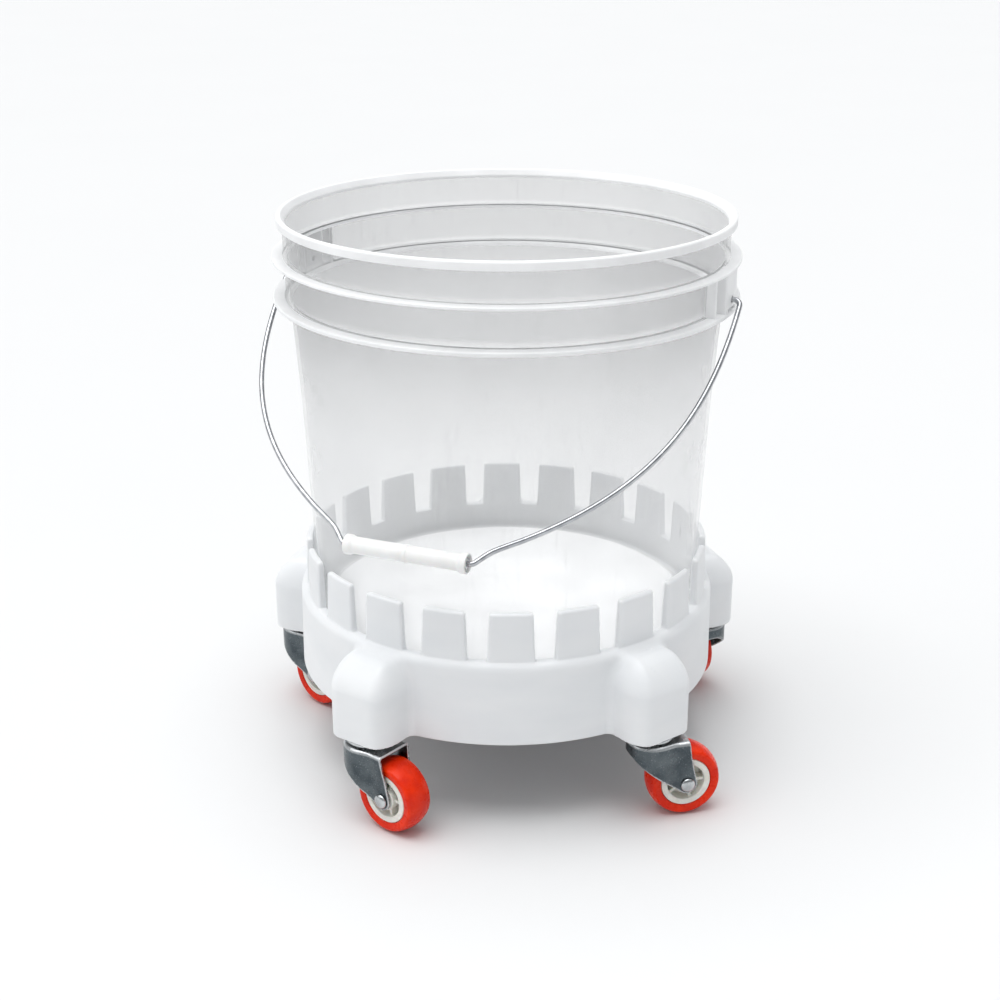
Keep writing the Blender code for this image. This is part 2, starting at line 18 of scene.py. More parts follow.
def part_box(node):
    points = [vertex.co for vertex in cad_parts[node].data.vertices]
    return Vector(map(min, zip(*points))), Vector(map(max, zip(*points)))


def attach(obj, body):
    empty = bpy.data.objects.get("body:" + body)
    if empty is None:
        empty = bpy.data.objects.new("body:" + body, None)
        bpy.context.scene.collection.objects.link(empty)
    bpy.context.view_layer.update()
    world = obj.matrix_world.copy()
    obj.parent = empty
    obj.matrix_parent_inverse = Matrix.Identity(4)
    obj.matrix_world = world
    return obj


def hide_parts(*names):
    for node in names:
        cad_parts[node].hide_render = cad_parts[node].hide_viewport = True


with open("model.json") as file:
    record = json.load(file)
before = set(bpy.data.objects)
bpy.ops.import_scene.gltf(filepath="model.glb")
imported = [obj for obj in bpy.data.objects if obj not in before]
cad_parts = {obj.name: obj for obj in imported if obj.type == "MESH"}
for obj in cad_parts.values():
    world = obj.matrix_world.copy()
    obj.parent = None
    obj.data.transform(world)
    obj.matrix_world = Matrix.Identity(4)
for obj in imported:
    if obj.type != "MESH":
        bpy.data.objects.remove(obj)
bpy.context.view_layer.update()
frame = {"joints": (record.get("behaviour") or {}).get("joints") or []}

JOINTS = {joint["name"]: joint for joint in frame["joints"]}
CASTORS = [name.removeprefix("roll_") for name in JOINTS if name.startswith("roll_")]

# Heights and radii that the frame gives
POD_BASE, TEETH_TOP = (corner.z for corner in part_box("dolly_ring"))
BUCKET_BASE, RIM_TOP = (corner.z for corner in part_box("bucket_shell"))
CROWN_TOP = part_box("fork_rear")[1].z
CUP_BASE, CUP_TOP = (corner.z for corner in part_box("race_cup_rear"))
STEM_BASE, STEM_TOP = (corner.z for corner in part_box("stem_rear"))
NUT_BASE, NUT_TOP = (corner.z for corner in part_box("insert_nut_rear"))
WASHER_BASE, WASHER_TOP = (corner.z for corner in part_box("thrust_washer_rear"))
AXLE = Vector(JOINTS["roll_rear"]["pos_m"])
SWIVEL = Vector(JOINTS["swivel_rear"]["pos_m"])
WHEEL_RADIUS = AXLE.z
TRAIL = (AXLE - SWIVEL).xy.length
SWIVEL_RADIUS = SWIVEL.xy.length
PIVOT = Vector(JOINTS["bail_swing"]["pos_m"])
GRIP_AT = Vector(JOINTS["grip_spin"]["pos_m"])
GRIP_DROP = (GRIP_AT - PIVOT).length
EAR_AXIS = Vector(JOINTS["grip_spin"]["axis"]).normalized()
GAP = 0.0003

# How meshes settle on their surface: rounds, the longest move in each, and the least squared slope
SETTLING_ROUNDS = 6
SETTLING_MOVE = 0.0004
LEAST_SLOPE = 0.05

# Dolly
PODS = len(CASTORS)
TEETH = 20
DECK_TOP = BUCKET_BASE - GAP
DECK_UNDER = DECK_TOP - 0.0030
SHELF = 0.1193
SHELF_ROUND = 0.0052
TOOTH_FACE = 0.1420
TOOTH_LEAN = 0.0007
TOOTH_ROUND = 0.0019
RING_BORE = 0.1370
SKIRT_RADIUS = 0.1470
SKIRT_TAPER = 0.0116
SKIRT_WALL = 0.0030
DECK_HOLE = 0.0450
GAP_WIDTH = 0.0131
GAP_FLARE = 0.0012
RIB_DEPTH = 0.0160
RIB_HALF_WIDTH = 0.0015
RIB_FOOT_ROUND = 0.0012
HEM_ROUND = 0.0008
CEILING_INSET = 0.0008
CEILING_ROUND = 0.0015
HOLLOW_ROUND = 0.0006
TOOTH_FOOT_ROUND = 0.0010
BOWL_DRAFT = 0.0006
BOWL_ROUND = 0.0020
RING_ROUND = 0.0012
DECK_HOLE_ROUND = 0.0010
OVERLAP = 0.0010
POD_END = 0.1752
POD_HALF_WIDTH = 0.0245
POD_SHOULDER = 0.0961
POD_CREST = 0.1176
POD_FILLET = 0.0045
POD_SQUARENESS = 2.2
POD_ROLL_POWER = 1.6
POD_LEAST_SLOPE = 30
CREST_END = 0.1555
CREST_HALF_WIDTH = 0.0120
BOSS_RADIUS = 0.0100
NUT_POCKET_RADIUS = 0.0068
STEM_RELIEF = 0.0030

# Pail
BUCKET_FLOOR = BUCKET_BASE + 0.0025
FOOT_RING = (0.1180, 0.1200, 0.1310)
FOOT_LIFT = 0.0010
WALL = 0.0022
NECK_RADII = (0.1472, 0.1478, 0.1480, 0.1484)
LIP_RADIUS = 0.1488
RIM_RADIUS = 0.1520
RIM_DEPTH = 0.0060
FLANGE_RADIUS = 0.1560
LOW_FLANGE = (0.3261, 0.3291)
HIGH_FLANGE = (0.3541, 0.3561)
WALL_STATIONS = ((0.1036, 0.1334), (0.2560, 0.1400), (0.3106, 0.1438), (0.3261, 0.1452))
EAR_FACE = 0.1556
EAR_ROOT = 0.1462
EAR_HALF_WIDTH = 0.0120
EAR_ROUND = 0.0016
EAR_WINDOW_BACK = 0.1532
EAR_WINDOW_HALF_WIDTH = 0.0085
EAR_WINDOW_DROP = 0.0050
EAR_RIB_AT = 0.0240
EAR_RIB_FACE = 0.1536
EAR_RIB_HALF_WIDTH = 0.0010
EAR_HOLE = 0.0021

# How opaque and how pale the pail's wall is, at heights up it: clearest just above each flange
ABOVE_LOW, ABOVE_HIGH = LOW_FLANGE[1] + 0.0045, HIGH_FLANGE[1] + 0.0040
WALL_VEILS = [
    (BUCKET_BASE, 0.10), (0.2900, 0.19),
    (LOW_FLANGE[0], 0.27), (LOW_FLANGE[1], 0.03), (ABOVE_LOW, 0.23),
    (HIGH_FLANGE[0], 0.24), (HIGH_FLANGE[1], 0.03), (ABOVE_HIGH, 0.20), (RIM_TOP, 0.22),
]
# The wall's paleness is painted shade and light: pale at the foot, greyer up the wall, with a painted
# highlight band just above each flange.
WALL_GREYS_WITH_PAINTED_SHADE = [
    (BUCKET_BASE, 0.97), (0.2550, 0.78),
    (LOW_FLANGE[0], 0.44), (LOW_FLANGE[1], 0.80), (ABOVE_LOW, 0.48),
    (HIGH_FLANGE[0], 0.46), (HIGH_FLANGE[1], 0.85), (ABOVE_HIGH, 0.54), (RIM_TOP, 0.56),
]

# The same of its thick places: floor, flanges, rim and ears
THICK_VEILS = [(BUCKET_BASE, 0.96), (RIM_TOP, 0.96)]
THICK_GREYS = [(BUCKET_BASE, 0.88), (RIM_TOP, 0.88)]

# Bail, as distances along its pivot axis and away from it, and grip
WIRE_RADIUS = 0.00175
LEG_AT = 0.1614
STUB_END = 0.1488
EAR_BEND = 0.0050
SWEEP_END = (0.0539, 0.2023)
SWEEP_SLOPE = 30.4
SWEEP_PULLS = (0.0861, 0.1010)
STEP_SLOPE = 48
GRIP_HALF_LENGTH = 0.0415
GRIP_BEND = 0.0050
GRIP_RADIUS = 0.0055
GRIP_COLLAR = 0.0065
GRIP_WALL = 0.0011
GRIP_POCKET = 0.0030
GRIP_CORE = WIRE_RADIUS + 0.0011
GRIP_SPOKE_HALF_WIDTH = 0.0004

# Castors: tread, wheel core, fork, and then the turned pieces of the swivel and the axle
TREAD_HALF_WIDTH = 0.0103
TREAD_BORE = 0.0173
TREAD_SHOULDER = 0.0007
CROWN_DROP = 0.0020
HUB_HALF_WIDTH = 0.0100
HUB_BORE = 0.0049
HUB_SPOKES = 5
HUB_RIM = 0.0128
HUB_RIM_SINK = 0.0004
HUB_BARREL = 0.0078
SPOKE_HALF_WIDTH = 0.0011
SPOKE_DEPTH = 0.0072
WEB_DEPTH = 0.0015
SHEET = 0.0018
FORK_HALF_WIDTH = 0.0128
FORK_SPREAD = 0.0017
FORK_NOSE = 0.0170
FORK_REAR = 0.0210
FORK_END_RADIUS = 0.0068
FORK_DRAW_IN = 0.0180
FORK_ROLL = 0.0030
FORK_SIDE_ROUND = 0.0004
FORK_GRID = 0.0006
NOSE_AT = -0.0180
NOSE_DEPTH = 0.0075
NOSE_BLEND = 0.0030
NOSE_ROUND = 0.0040
STEM_RADIUS = 0.0040
STEM_HEAD = 0.0062
STEM_TAIL = 0.0046
AXLE_RADIUS = 0.0030
RIVET_HEAD = 0.0049
RIVET_DOME = 0.0026
CUP_RADIUS = 0.0150
CUP_BORE = 0.0138
CUP_SHEET = 0.0012
BALLS = 16
BALL_CIRCLE = 0.0115
SLEEVE_RADIUS = 0.0046
SLEEVE_HALF_LENGTH = 0.0107
WASHER_RADIUS = 0.0095
NUT_RADIUS = 0.0075

# Camera: height, distance in front of the object's axis, and how it is turned
CAMERA_DISTANCE = 1.0792
CAMERA_HEIGHT = 0.5998
CAMERA_AZIMUTH = -1.4
CAMERA_PITCH = 21.459
CAMERA_YAW = 0.2325
CAMERA_LENS = 59.0

# Radiance of the studio overhead, and its share at each height from the horizon, 0, to overhead, 1
CEILING_LIGHT = 1.08
ROOM_LIGHT = ((0.0, 0.84), (0.16, 0.84), (0.26, 0.10), (1.0, 1.0))


def direction(azimuth):
    """The level unit vector at this azimuth, in radians."""
    return Vector((math.sin(azimuth), -math.cos(azimuth), 0.0))


def frame_matrix(x_axis, z_axis, origin):
    """A right-handed frame with this X and Z, at this point."""
    y_axis = z_axis.cross(x_axis)
    turned = Matrix((x_axis, y_axis, z_axis)).transposed().to_4x4()
    return Matrix.Translation(origin) @ turned


def piece(name, mesh, finishes, body, nodes=(), matrix=None):
    """Adds a piece that rides on a body and stands for these CAD nodes."""
    obj = bpy.data.objects.new(name, mesh)
    bpy.context.scene.collection.objects.link(obj)
    if not mesh.materials:
        for finish in finishes:
            mesh.materials.append(finish)
    if matrix:
        obj.matrix_world = matrix
    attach(obj, body)
    if nodes:
        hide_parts(*nodes)
    return obj


# Meshes from distance fields: each field is negative inside the solid, in metres


def edge(a, b, radius):
    """What two solids share, its outer corner rounded."""
    corner = np.hypot(np.maximum(a + radius, 0), np.maximum(b + radius, 0))
    return np.minimum(-radius, np.maximum(a, b)) + corner


def join(a, b, radius):
    """Two solids together, the inner corner between them filled round."""
    return -edge(-a, -b, radius)


def cut(a, b, radius):
    """The first solid without the second, its new edges rounded."""
    return edge(a, -b, radius)


def graded(stops):
    """Grid lines between stops, each given with the spacing up to the next."""
    lines = []
    for (start, step), (end, _) in zip(stops, stops[1:]):
        count = max(1, round((end - start) / step))
        lines.extend(np.linspace(start, end, count, endpoint=False))
    return np.array([*lines, stops[-1][0]])


def even(low, high, step):
    """Grid lines from one place to another at one spacing."""
    return graded([(low, step), (high, step)])


def gradient(field, points, reach=0.00002):
    """The slope of a field at each point."""
    slopes = []
    for axis in range(3):
        shift = np.zeros(3)
        shift[axis] = reach
        ahead, behind = points + shift, points - shift
        slopes.append((field(*ahead.T) - field(*behind.T)) / (2 * reach))
    return np.array(slopes).T


def cell_points(values, cells, lines):
    """For each cell the mean of where its edges cross the surface."""
    offsets = np.array(list(product((0, 1), repeat=3)))
    corners = cells[:, None, :] + offsets
    at = values[corners[..., 0], corners[..., 1], corners[..., 2]]
    total, number = np.zeros((len(cells), 3)), np.zeros((len(cells), 1))
    for p, q in product(range(8), repeat=2):
        step = offsets[q] - offsets[p]
        if step.min() < 0 or step.sum() != 1:
            continue
        crossed = (at[:, p] < 0) != (at[:, q] < 0)
        part = np.where(crossed, at[:, p] / np.where(crossed, at[:, p] - at[:, q], 1), 0)
        total += np.where(crossed[:, None], offsets[p] + step * part[:, None], 0)
        number += crossed[:, None]
    local = total / number
    spots = []
    for axis, line in enumerate(lines):
        low, high = line[cells[:, axis]], line[cells[:, axis] + 1]
        spots.append(low + (high - low) * local[:, axis])
    return spots


def cell_quads(inside, ids, axis, wraps):
    """A face over each grid edge along one axis that crosses the surface."""
    u, v = (axis + 1) % 3, (axis + 2) % 3
    change = np.diff(inside.astype(np.int8), axis=axis)
    spots = np.argwhere(change)
    for other in (u, v):
        least = 0 if wraps and other == 0 else 1
        spots = spots[(spots[:, other] >= least) & (spots[:, other] < ids.shape[other])]
    quad = []
    for back_u, back_v in ((1, 1), (0, 1), (0, 0), (1, 0)):
        cell = spots.copy()
        cell[:, u] -= back_u
        cell[:, v] -= back_v
        quad.append(ids[tuple(cell.T)])
    quad = np.array(quad).T
    outward = change[tuple(spots.T)] < 0
    return np.where(outward[:, None], quad, quad[:, ::-1])


def net(name, lines, field, place=None, copies=1):
    """The mesh of the surface where a field is zero, on a grid of lines along three coordinates.

    place turns the coordinates into x, y and z. With copies, the first coordinate is an angle over
    one of that many equal sectors, and the mesh goes all the way round.
    """
    place = place or (lambda *spot: spot)
    values = field(*place(*np.meshgrid(*lines, indexing="ij")))
    if copies > 1:
        sector = 2 * math.pi / copies
        values = np.concatenate([values] * copies + [values[:1]])
        turns = [lines[0] + k * sector for k in range(copies)]
        lines = (np.concatenate([*turns, lines[0][:1] + 2 * math.pi]), *lines[1:])
    inside = values < 0
    count = sum(
        inside[tuple(slice(o, o + n - 1) for o, n in zip(offset, inside.shape))].astype(np.int8)
        for offset in product((0, 1), repeat=3)
    )
    cells = np.argwhere((count > 0) & (count < 8))
    ids = np.full(count.shape, -1)
    ids[tuple(cells.T)] = np.arange(len(cells))
    points = np.array(place(*cell_points(values, cells, lines))).T
    for _ in range(SETTLING_ROUNDS):
        slope = gradient(field, points)
        size = np.maximum((slope**2).sum(axis=1), LEAST_SLOPE)
        move = (field(*points.T) / size)[:, None] * slope
        points -= np.clip(move, -SETTLING_MOVE, SETTLING_MOVE)
    normals = gradient(field, points)
    normals /= np.maximum(np.linalg.norm(normals, axis=1), 1e-9)[:, None]
    quads = np.concatenate([cell_quads(inside, ids, axis, copies > 1) for axis in range(3)])
    first = points[quads[:, 0]]
    facing = np.cross(points[quads[:, 1]] - first, points[quads[:, 2]] - first)
    if (facing * normals[quads[:, 0]]).sum() < 0:
        quads = quads[:, ::-1]
    mesh = bpy.data.meshes.new(name)
    mesh.from_pydata(points.tolist(), [], quads.tolist())
    mesh.shade_smooth()
    mesh.normals_split_custom_set_from_vertices(normals.tolist())
    return mesh


def round_about(angle, radius, height):
    """Azimuth, radius and height as x, y and z."""
    return radius * np.sin(angle), -radius * np.cos(angle), height


# Turned and swept meshes


def fillet(before, corner, after, radius, count=5):
    """Points on the arc that rounds a corner of an outline."""
    corner = Vector(corner)
    back, ahead = (Vector(before) - corner), (Vector(after) - corner)
    angle = back.angle(ahead)
    reach = min(radius / math.tan(angle / 2), 0.49 * back.length, 0.49 * ahead.length)
    bulge = reach * math.tan(angle / 2)
    middle = (back.normalized() + ahead.normalized()).normalized()
    centre = corner + middle * (bulge / math.sin(angle / 2))
    start = corner + back.normalized() * reach - centre
    end = corner + ahead.normalized() * reach - centre
    sweep = start.angle_signed(end)
    turns = [Matrix.Rotation(-sweep * i / (count - 1), 2) for i in range(count)]
    return [tuple(centre + turn @ start) for turn in turns]


def rounded(profile, closed):
    """A profile of (radius, height, rounding) as plain points."""
    points = []
    last = len(profile) - 1
    for i, (radius, height, rounding) in enumerate(profile):
        ends = not closed and i in (0, last)
        if rounding and not ends:
            before, after = profile[i - 1][:2], profile[(i + 1) % len(profile)][:2]
            points.extend(fillet(before, (radius, height), after, rounding))
        else:
            points.append((radius, height))
    return points


def lathe(name, profile, steps=96, closed=True):
    """A profile turned about Z. An open one starts and ends on the axis."""
    points = rounded(profile, closed)
    count = len(points)
    verts, faces = [], []
    for k in range(steps):
        angle = 2 * math.pi * k / steps
        verts.extend((r * math.cos(angle), r * math.sin(angle), h) for r, h in points)
        here, there = k * count, (k + 1) % steps * count
        for i in range(count if closed else count - 1):
            j = (i + 1) % count
            faces.append((here + i, there + i, there + j, here + j))
    mesh = bpy.data.meshes.new(name)
    mesh.from_pydata(verts, [], faces)
    return cleaned(mesh)


def cleaned(mesh):
    """Welds points on the axis, turns the faces outwards and shades round stretches smooth."""
    bm = bmesh.new()
    bm.from_mesh(mesh)
    bmesh.ops.remove_doubles(bm, verts=bm.verts, dist=0.0000005)
    bmesh.ops.recalc_face_normals(bm, faces=bm.faces)
    bm.to_mesh(mesh)
    bm.free()
    mesh.shade_smooth()
    mesh.set_sharp_from_angle(angle=math.radians(32))
    return mesh


def arc(centre, radius, start, end, count):
    """Points on an arc, from one angle in degrees to the other."""
    angles = [math.radians(start + (end - start) * i / (count - 1)) for i in range(count)]
    return [(centre[0] + radius * math.cos(a), centre[1] + radius * math.sin(a)) for a in angles]


def swept(name, path, across, radius, sides=20):
    """A round wire along a flat path, whose plane faces across, with rounded ends."""
    verts, faces = [], []
    rings = []
    for i, point in enumerate(path):
        ahead = (path[min(i + 1, len(path) - 1)] - path[max(i - 1, 0)]).normalized()
        rings.append((point, ahead.cross(across), 1.0))
    first, last = rings[0], rings[-1]
    start, finish = (path[0] - path[1]).normalized(), (path[-1] - path[-2]).normalized()
    caps = [(math.sin(a), math.cos(a)) for a in (math.radians(t) for t in (30, 60, 85))]
    front = [(first[0] + start * radius * out, first[1], size) for out, size in reversed(caps)]
    back = [(last[0] + finish * radius * out, last[1], size) for out, size in caps]
    rings = [*front, *rings, *back]
    for k, (point, side, size) in enumerate(rings):
        for i in range(sides):
            angle = 2 * math.pi * i / sides
            spoke = side * math.cos(angle) + across * math.sin(angle)
            verts.append(point + spoke * radius * size)
            if k:
                j = (i + 1) % sides
                low, high = (k - 1) * sides, k * sides
                faces.append((low + i, low + j, high + j, high + i))
    top = (len(rings) - 1) * sides
    faces.append(tuple(range(sides)))
    faces.append(tuple(range(top, top + sides)))
    mesh = bpy.data.meshes.new(name)
    mesh.from_pydata(verts, [], faces)
    return cleaned(mesh)


# Materials


class Surface:
    """A Principled material and the nodes that feed it."""

    def __init__(self, name, roughness, **sockets):
        self.material = bpy.data.materials.new(name)
        self.material.use_nodes = True
        self.tree = self.material.node_tree
        self.shader = self.tree.nodes["Principled BSDF"]
        self.shader.inputs["Roughness"].default_value = roughness
        for socket, value in sockets.items():
            self.shader.inputs[socket.replace("_", " ")].default_value = value
        self.coords = self.node("TexCoord").outputs["Object"]

    def node(self, kind, **inputs):
        """Adds a shader node and feeds its inputs."""
        made = self.tree.nodes.new("ShaderNode" + kind)
        for socket, value in inputs.items():
            self.feed(made.inputs[socket.replace("_", " ")], value)
        return made

    def feed(self, socket, value):
        """Links a socket to another one, or gives it a value."""
        if isinstance(value, bpy.types.NodeSocket):
            self.tree.links.new(value, socket)
        else:
            socket.default_value = value

    def noise(self, scale, detail=4.0, stretch=(1, 1, 1)):
        """A grey noise over the piece's own coordinates, in features per metre."""
        mapped = self.node("Mapping", Vector=self.coords, Scale=stretch)
        texture = self.node("TexNoise", Vector=mapped.outputs[0], Scale=scale, Detail=detail)
        return texture.outputs["Fac"]

    def ramp(self, value, low, high, start=0.35, end=0.65):
        """Turns a grey value into a blend of two colours."""
        ramp = self.node("ValToRGB", Fac=value)
        stops = ramp.color_ramp.elements
        stops[0].position, stops[1].position = start, end
        stops[0].color, stops[1].color = (*low, 1.0), (*high, 1.0)
        return ramp.outputs["Color"]

    def steps(self, share, stops):
        """A grey value at each of some heights up the pail, with an even change between them."""
        ramp = self.node("ValToRGB", Fac=share)
        elements = ramp.color_ramp.elements
        while len(elements) < len(stops):
            elements.new(0.5)
        for element, (height, grey) in zip(elements, stops):
            element.position = (height - BUCKET_BASE) / (RIM_TOP - BUCKET_BASE)
            element.color = (grey, grey * 1.005, grey * 1.01, 1.0)
        return ramp.outputs["Color"]

    def span(self, value, low, high, start=0.3, end=0.7):
        """Moves a grey value to another range."""
        made = self.node("MapRange", Value=value)
        for socket, number in zip(list(made.inputs)[1:5], (start, end, low, high)):
            socket.default_value = number
        return made.outputs[0]

    def sum(self, first, second):
        """Two grey values added together."""
        made = self.node("Math")
        for socket, value in zip(made.inputs, (first, second)):
            self.feed(socket, value)
        return made.outputs[0]

    def mix(self, factor, first, second):
        """A colour between two others."""
        made = self.node("Mix")
        made.data_type = "RGBA"
        chosen = [socket for socket in made.inputs if socket.enabled]
        for socket, value in zip(chosen, (factor, first, second)):
            self.feed(socket, value if not isinstance(value, tuple) else (*value, 1.0))
        return next(socket for socket in made.outputs if socket.enabled)

    def bump(self, *heights):
        """Raises the surface by each (grey value, distance in metres)."""
        normal = None
        for height, distance in heights:
            made = self.node("Bump", Height=height, Distance=distance, Strength=1.0)
            if normal:
                self.tree.links.new(normal, made.inputs["Normal"])
            normal = made.outputs["Normal"]
        self.feed(self.shader.inputs["Normal"], normal)

    def edges(self, start=0.50, end=0.58):
        """1 on sharp outer edges and 0 elsewhere: the mask of a painted highlight."""
        return self.span(self.node("NewGeometry").outputs["Pointiness"], 0.0, 1.0, start, end)

    def set(self, **sockets):
        """Feeds the shader's own sockets, and returns the finished material."""
        for socket, value in sockets.items():
            self.feed(self.shader.inputs[socket.replace("_", " ")], value)
        return self.material


def dolly_plastic():
    """Satin white moulding with a fine orange peel, faint flow marks and a painted highlight along its outer
    edges.
    """
    made = Surface("dolly_plastic", 0.4, Specular_IOR_Level=0.45, Subsurface_Weight=0.12)
    made.shader.inputs["Subsurface Radius"].default_value = (0.9, 0.95, 1.0)
    made.shader.inputs["Subsurface Scale"].default_value = 0.0015
    flow = made.noise(14, 5.0, (1, 1, 2.5))
    tint = made.ramp(flow, (0.77, 0.785, 0.80), (0.81, 0.82, 0.83))
    specks = made.span(made.noise(900, 2.0), 0.0, 0.10, 0.66, 0.74)
    tint = made.mix(specks, tint, (0.66, 0.67, 0.68))
    # Painted highlight: the outer edges, found by pointiness, are lightened towards white.
    tint = made.mix(made.edges(0.52, 0.62), tint, (0.90, 0.905, 0.91))
    made.bump((made.noise(2600, 2.0), 0.00002), (made.noise(120, 3.0), 0.00006))
    return made.set(Base_Color=tint, Roughness=made.span(made.noise(60), 0.34, 0.46))


def pail_plastic(name, roughness, veils, paleness_and_painted_shade, glancing, scuffing):
    """Natural polypropylene: see-through face on and milkier at a glancing angle.

    veils and paleness_and_painted_shade list how opaque and how pale it is at heights up the pail; on the
    wall the paleness is painted shade.
    """
    made = Surface(name, roughness, IOR=1.49, Specular_IOR_Level=0.6)
    height = made.node("SeparateXYZ", Vector=made.coords).outputs["Z"]
    share = made.span(height, 0.0, 1.0, BUCKET_BASE, RIM_TOP)
    haze = made.span(made.noise(26, 5.0, (1, 1, 0.35)), 0.94, 1.06)
    # On the wall this tint by height is painted shade: pale at the foot, greyer up the wall, with painted
    # highlight bands just above the flanges.
    tint = made.node("VectorMath", Vector=made.steps(share, paleness_and_painted_shade))
    tint.operation = "SCALE"
    made.feed(tint.inputs["Scale"], haze)
    facing = made.node("LayerWeight", Blend=0.35).outputs["Facing"]
    glance = made.span(facing, 0.0, glancing, 0.05, 1.0)
    scuffs = made.span(made.noise(300, 6.0, (1, 1, 0.12)), 0.0, scuffing, 0.58, 0.72)
    veil = made.sum(made.sum(made.steps(share, veils), glance), scuffs)
    made.bump((made.noise(90, 3.0), 0.00005), (made.noise(1800, 2.0), 0.00001))
    rough = made.span(made.noise(45), roughness - 0.06, roughness + 0.06)
    return made.set(Base_Color=tint.outputs[0], Alpha=veil, Roughness=rough)


def grip_plastic():
    """Plain white moulding, a little greyer where hands have rubbed it."""
    made = Surface("grip_plastic", 0.42, Subsurface_Weight=0.10)
    made.shader.inputs["Subsurface Scale"].default_value = 0.0010
    tint = made.ramp(made.noise(55, 5.0), (0.80, 0.80, 0.79), (0.87, 0.87, 0.865))
    made.bump((made.noise(3000, 2.0), 0.00002), (made.noise(260, 3.0), 0.00004))
    return made.set(Base_Color=tint, Roughness=made.span(made.noise(150), 0.36, 0.50))


def bail_steel():
    """Bright drawn wire with fine lines along its length."""
    made = Surface("bail_steel", 0.2, Metallic=1.0)
    tint = made.ramp(made.noise(180, 6.0), (0.36, 0.37, 0.39), (0.52, 0.53, 0.55))
    made.bump((made.noise(1400, 3.0, (1, 1, 0.2)), 0.00003))
    return made.set(Base_Color=tint, Roughness=made.span(made.noise(500), 0.14, 0.28))


def zinc_plate():
    """Plated pressing: soft mottle, rolling lines and bright flecks, with a painted highlight on its outer
    edges and a painted highlight band along its rolled top.
    """
    made = Surface("zinc_plate", 0.3, Metallic=1.0)
    tint = made.ramp(made.noise(70, 5.0), (0.060, 0.074, 0.084), (0.125, 0.145, 0.155))
    flecks = made.span(made.noise(1500, 2.0), 0.0, 0.7, 0.66, 0.72)
    tint = made.mix(flecks, tint, (0.40, 0.43, 0.45))
    # Painted highlight: the outer edges are lightened towards bright zinc.
    tint = made.mix(made.edges(0.51, 0.58), tint, (0.80, 0.82, 0.83))
    # Painted highlight: a bright band just under the crown's top, where the rolled edge would catch the
    # light.
    height = made.node("SeparateXYZ", Vector=made.coords).outputs["Z"]
    roll = made.span(height, 0.0, 0.85, CROWN_TOP - 0.0026, CROWN_TOP - 0.0010)
    tint = made.mix(roll, tint, (0.72, 0.74, 0.75))
    made.bump((made.noise(900, 3.0, (1, 0.15, 1)), 0.00003), (made.noise(160, 3.0), 0.00005))
    return made.set(Base_Color=tint, Roughness=made.span(made.noise(220), 0.22, 0.38))


def polished_zinc():
    """The brighter plating of the turned and spun pieces, rubbed where they run."""
    made = Surface("polished_zinc", 0.2, Metallic=1.0)
    tint = made.ramp(made.noise(150, 5.0), (0.42, 0.44, 0.45), (0.60, 0.62, 0.63))
    rings = made.noise(1800, 2.0, (1, 1, 0.2))
    made.bump((rings, 0.00002), (made.noise(240, 3.0), 0.00003))
    return made.set(Base_Color=tint, Roughness=made.span(made.noise(300), 0.14, 0.28))


def fastener_steel():
    """Bright turned steel with a slight film of oil."""
    made = Surface("fastener_steel", 0.3, Metallic=1.0)
    tint = made.ramp(made.noise(260, 5.0), (0.34, 0.36, 0.38), (0.52, 0.54, 0.56))
    made.bump((made.noise(1600, 3.0), 0.00003))
    return made.set(Base_Color=tint, Roughness=made.span(made.noise(400), 0.20, 0.36))


def hub_nylon():
    """Off-white moulded nylon, darker in its pockets."""
    made = Surface("hub_nylon", 0.5, Subsurface_Weight=0.10)
    made.shader.inputs["Subsurface Scale"].default_value = 0.0008
    tint = made.ramp(made.noise(240, 5.0), (0.74, 0.72, 0.66), (0.84, 0.83, 0.78))
    # Darker, towards a near black, where the surface is hollow.
    hollows = made.span(made.node("NewGeometry").outputs["Pointiness"], 1.0, 0.0, 0.40, 0.48)
    tint = made.mix(hollows, tint, (0.20, 0.185, 0.13))
    made.bump((made.noise(2200, 2.0), 0.00002), (made.noise(400, 3.0), 0.00003))
    return made.set(Base_Color=tint, Roughness=made.span(made.noise(300), 0.42, 0.58))


def tread_urethane():
    """Glossy orange-red polyurethane with faint scuffs round its crown."""
    made = Surface("tread_urethane", 0.3, Specular_IOR_Level=0.20)
    tint = made.ramp(made.noise(90, 3.0), (0.68, 0.016, 0.001), (0.84, 0.034, 0.002))
    scuffs = made.span(made.noise(700, 6.0, (1, 1, 0.25)), 0.0, 0.22, 0.60, 0.74)
    tint = made.mix(scuffs, tint, (0.86, 0.10, 0.05))
    made.bump((made.noise(2000, 2.0), 0.000006), (made.noise(250, 2.0), 0.00003))
    return made.set(Base_Color=tint, Roughness=made.span(made.noise(260), 0.22, 0.38))


FINISHES = {
    "dolly_plastic": [dolly_plastic()],
    "clear_pail": [
        pail_plastic("pail_wall", 0.23, WALL_VEILS, WALL_GREYS_WITH_PAINTED_SHADE, 0.22, 0.04),
        pail_plastic("pail_thick", 0.46, THICK_VEILS, THICK_GREYS, 0.03, 0.01),
    ],
    "grip_plastic": [grip_plastic()],
    "bail_steel": [bail_steel()],
    "zinc_plate": [zinc_plate()],
    "polished_zinc": [polished_zinc()],
    "fastener_steel": [fastener_steel()],
    "hub_nylon": [hub_nylon()],
    "tread_urethane": [tread_urethane()],
}


# Dolly


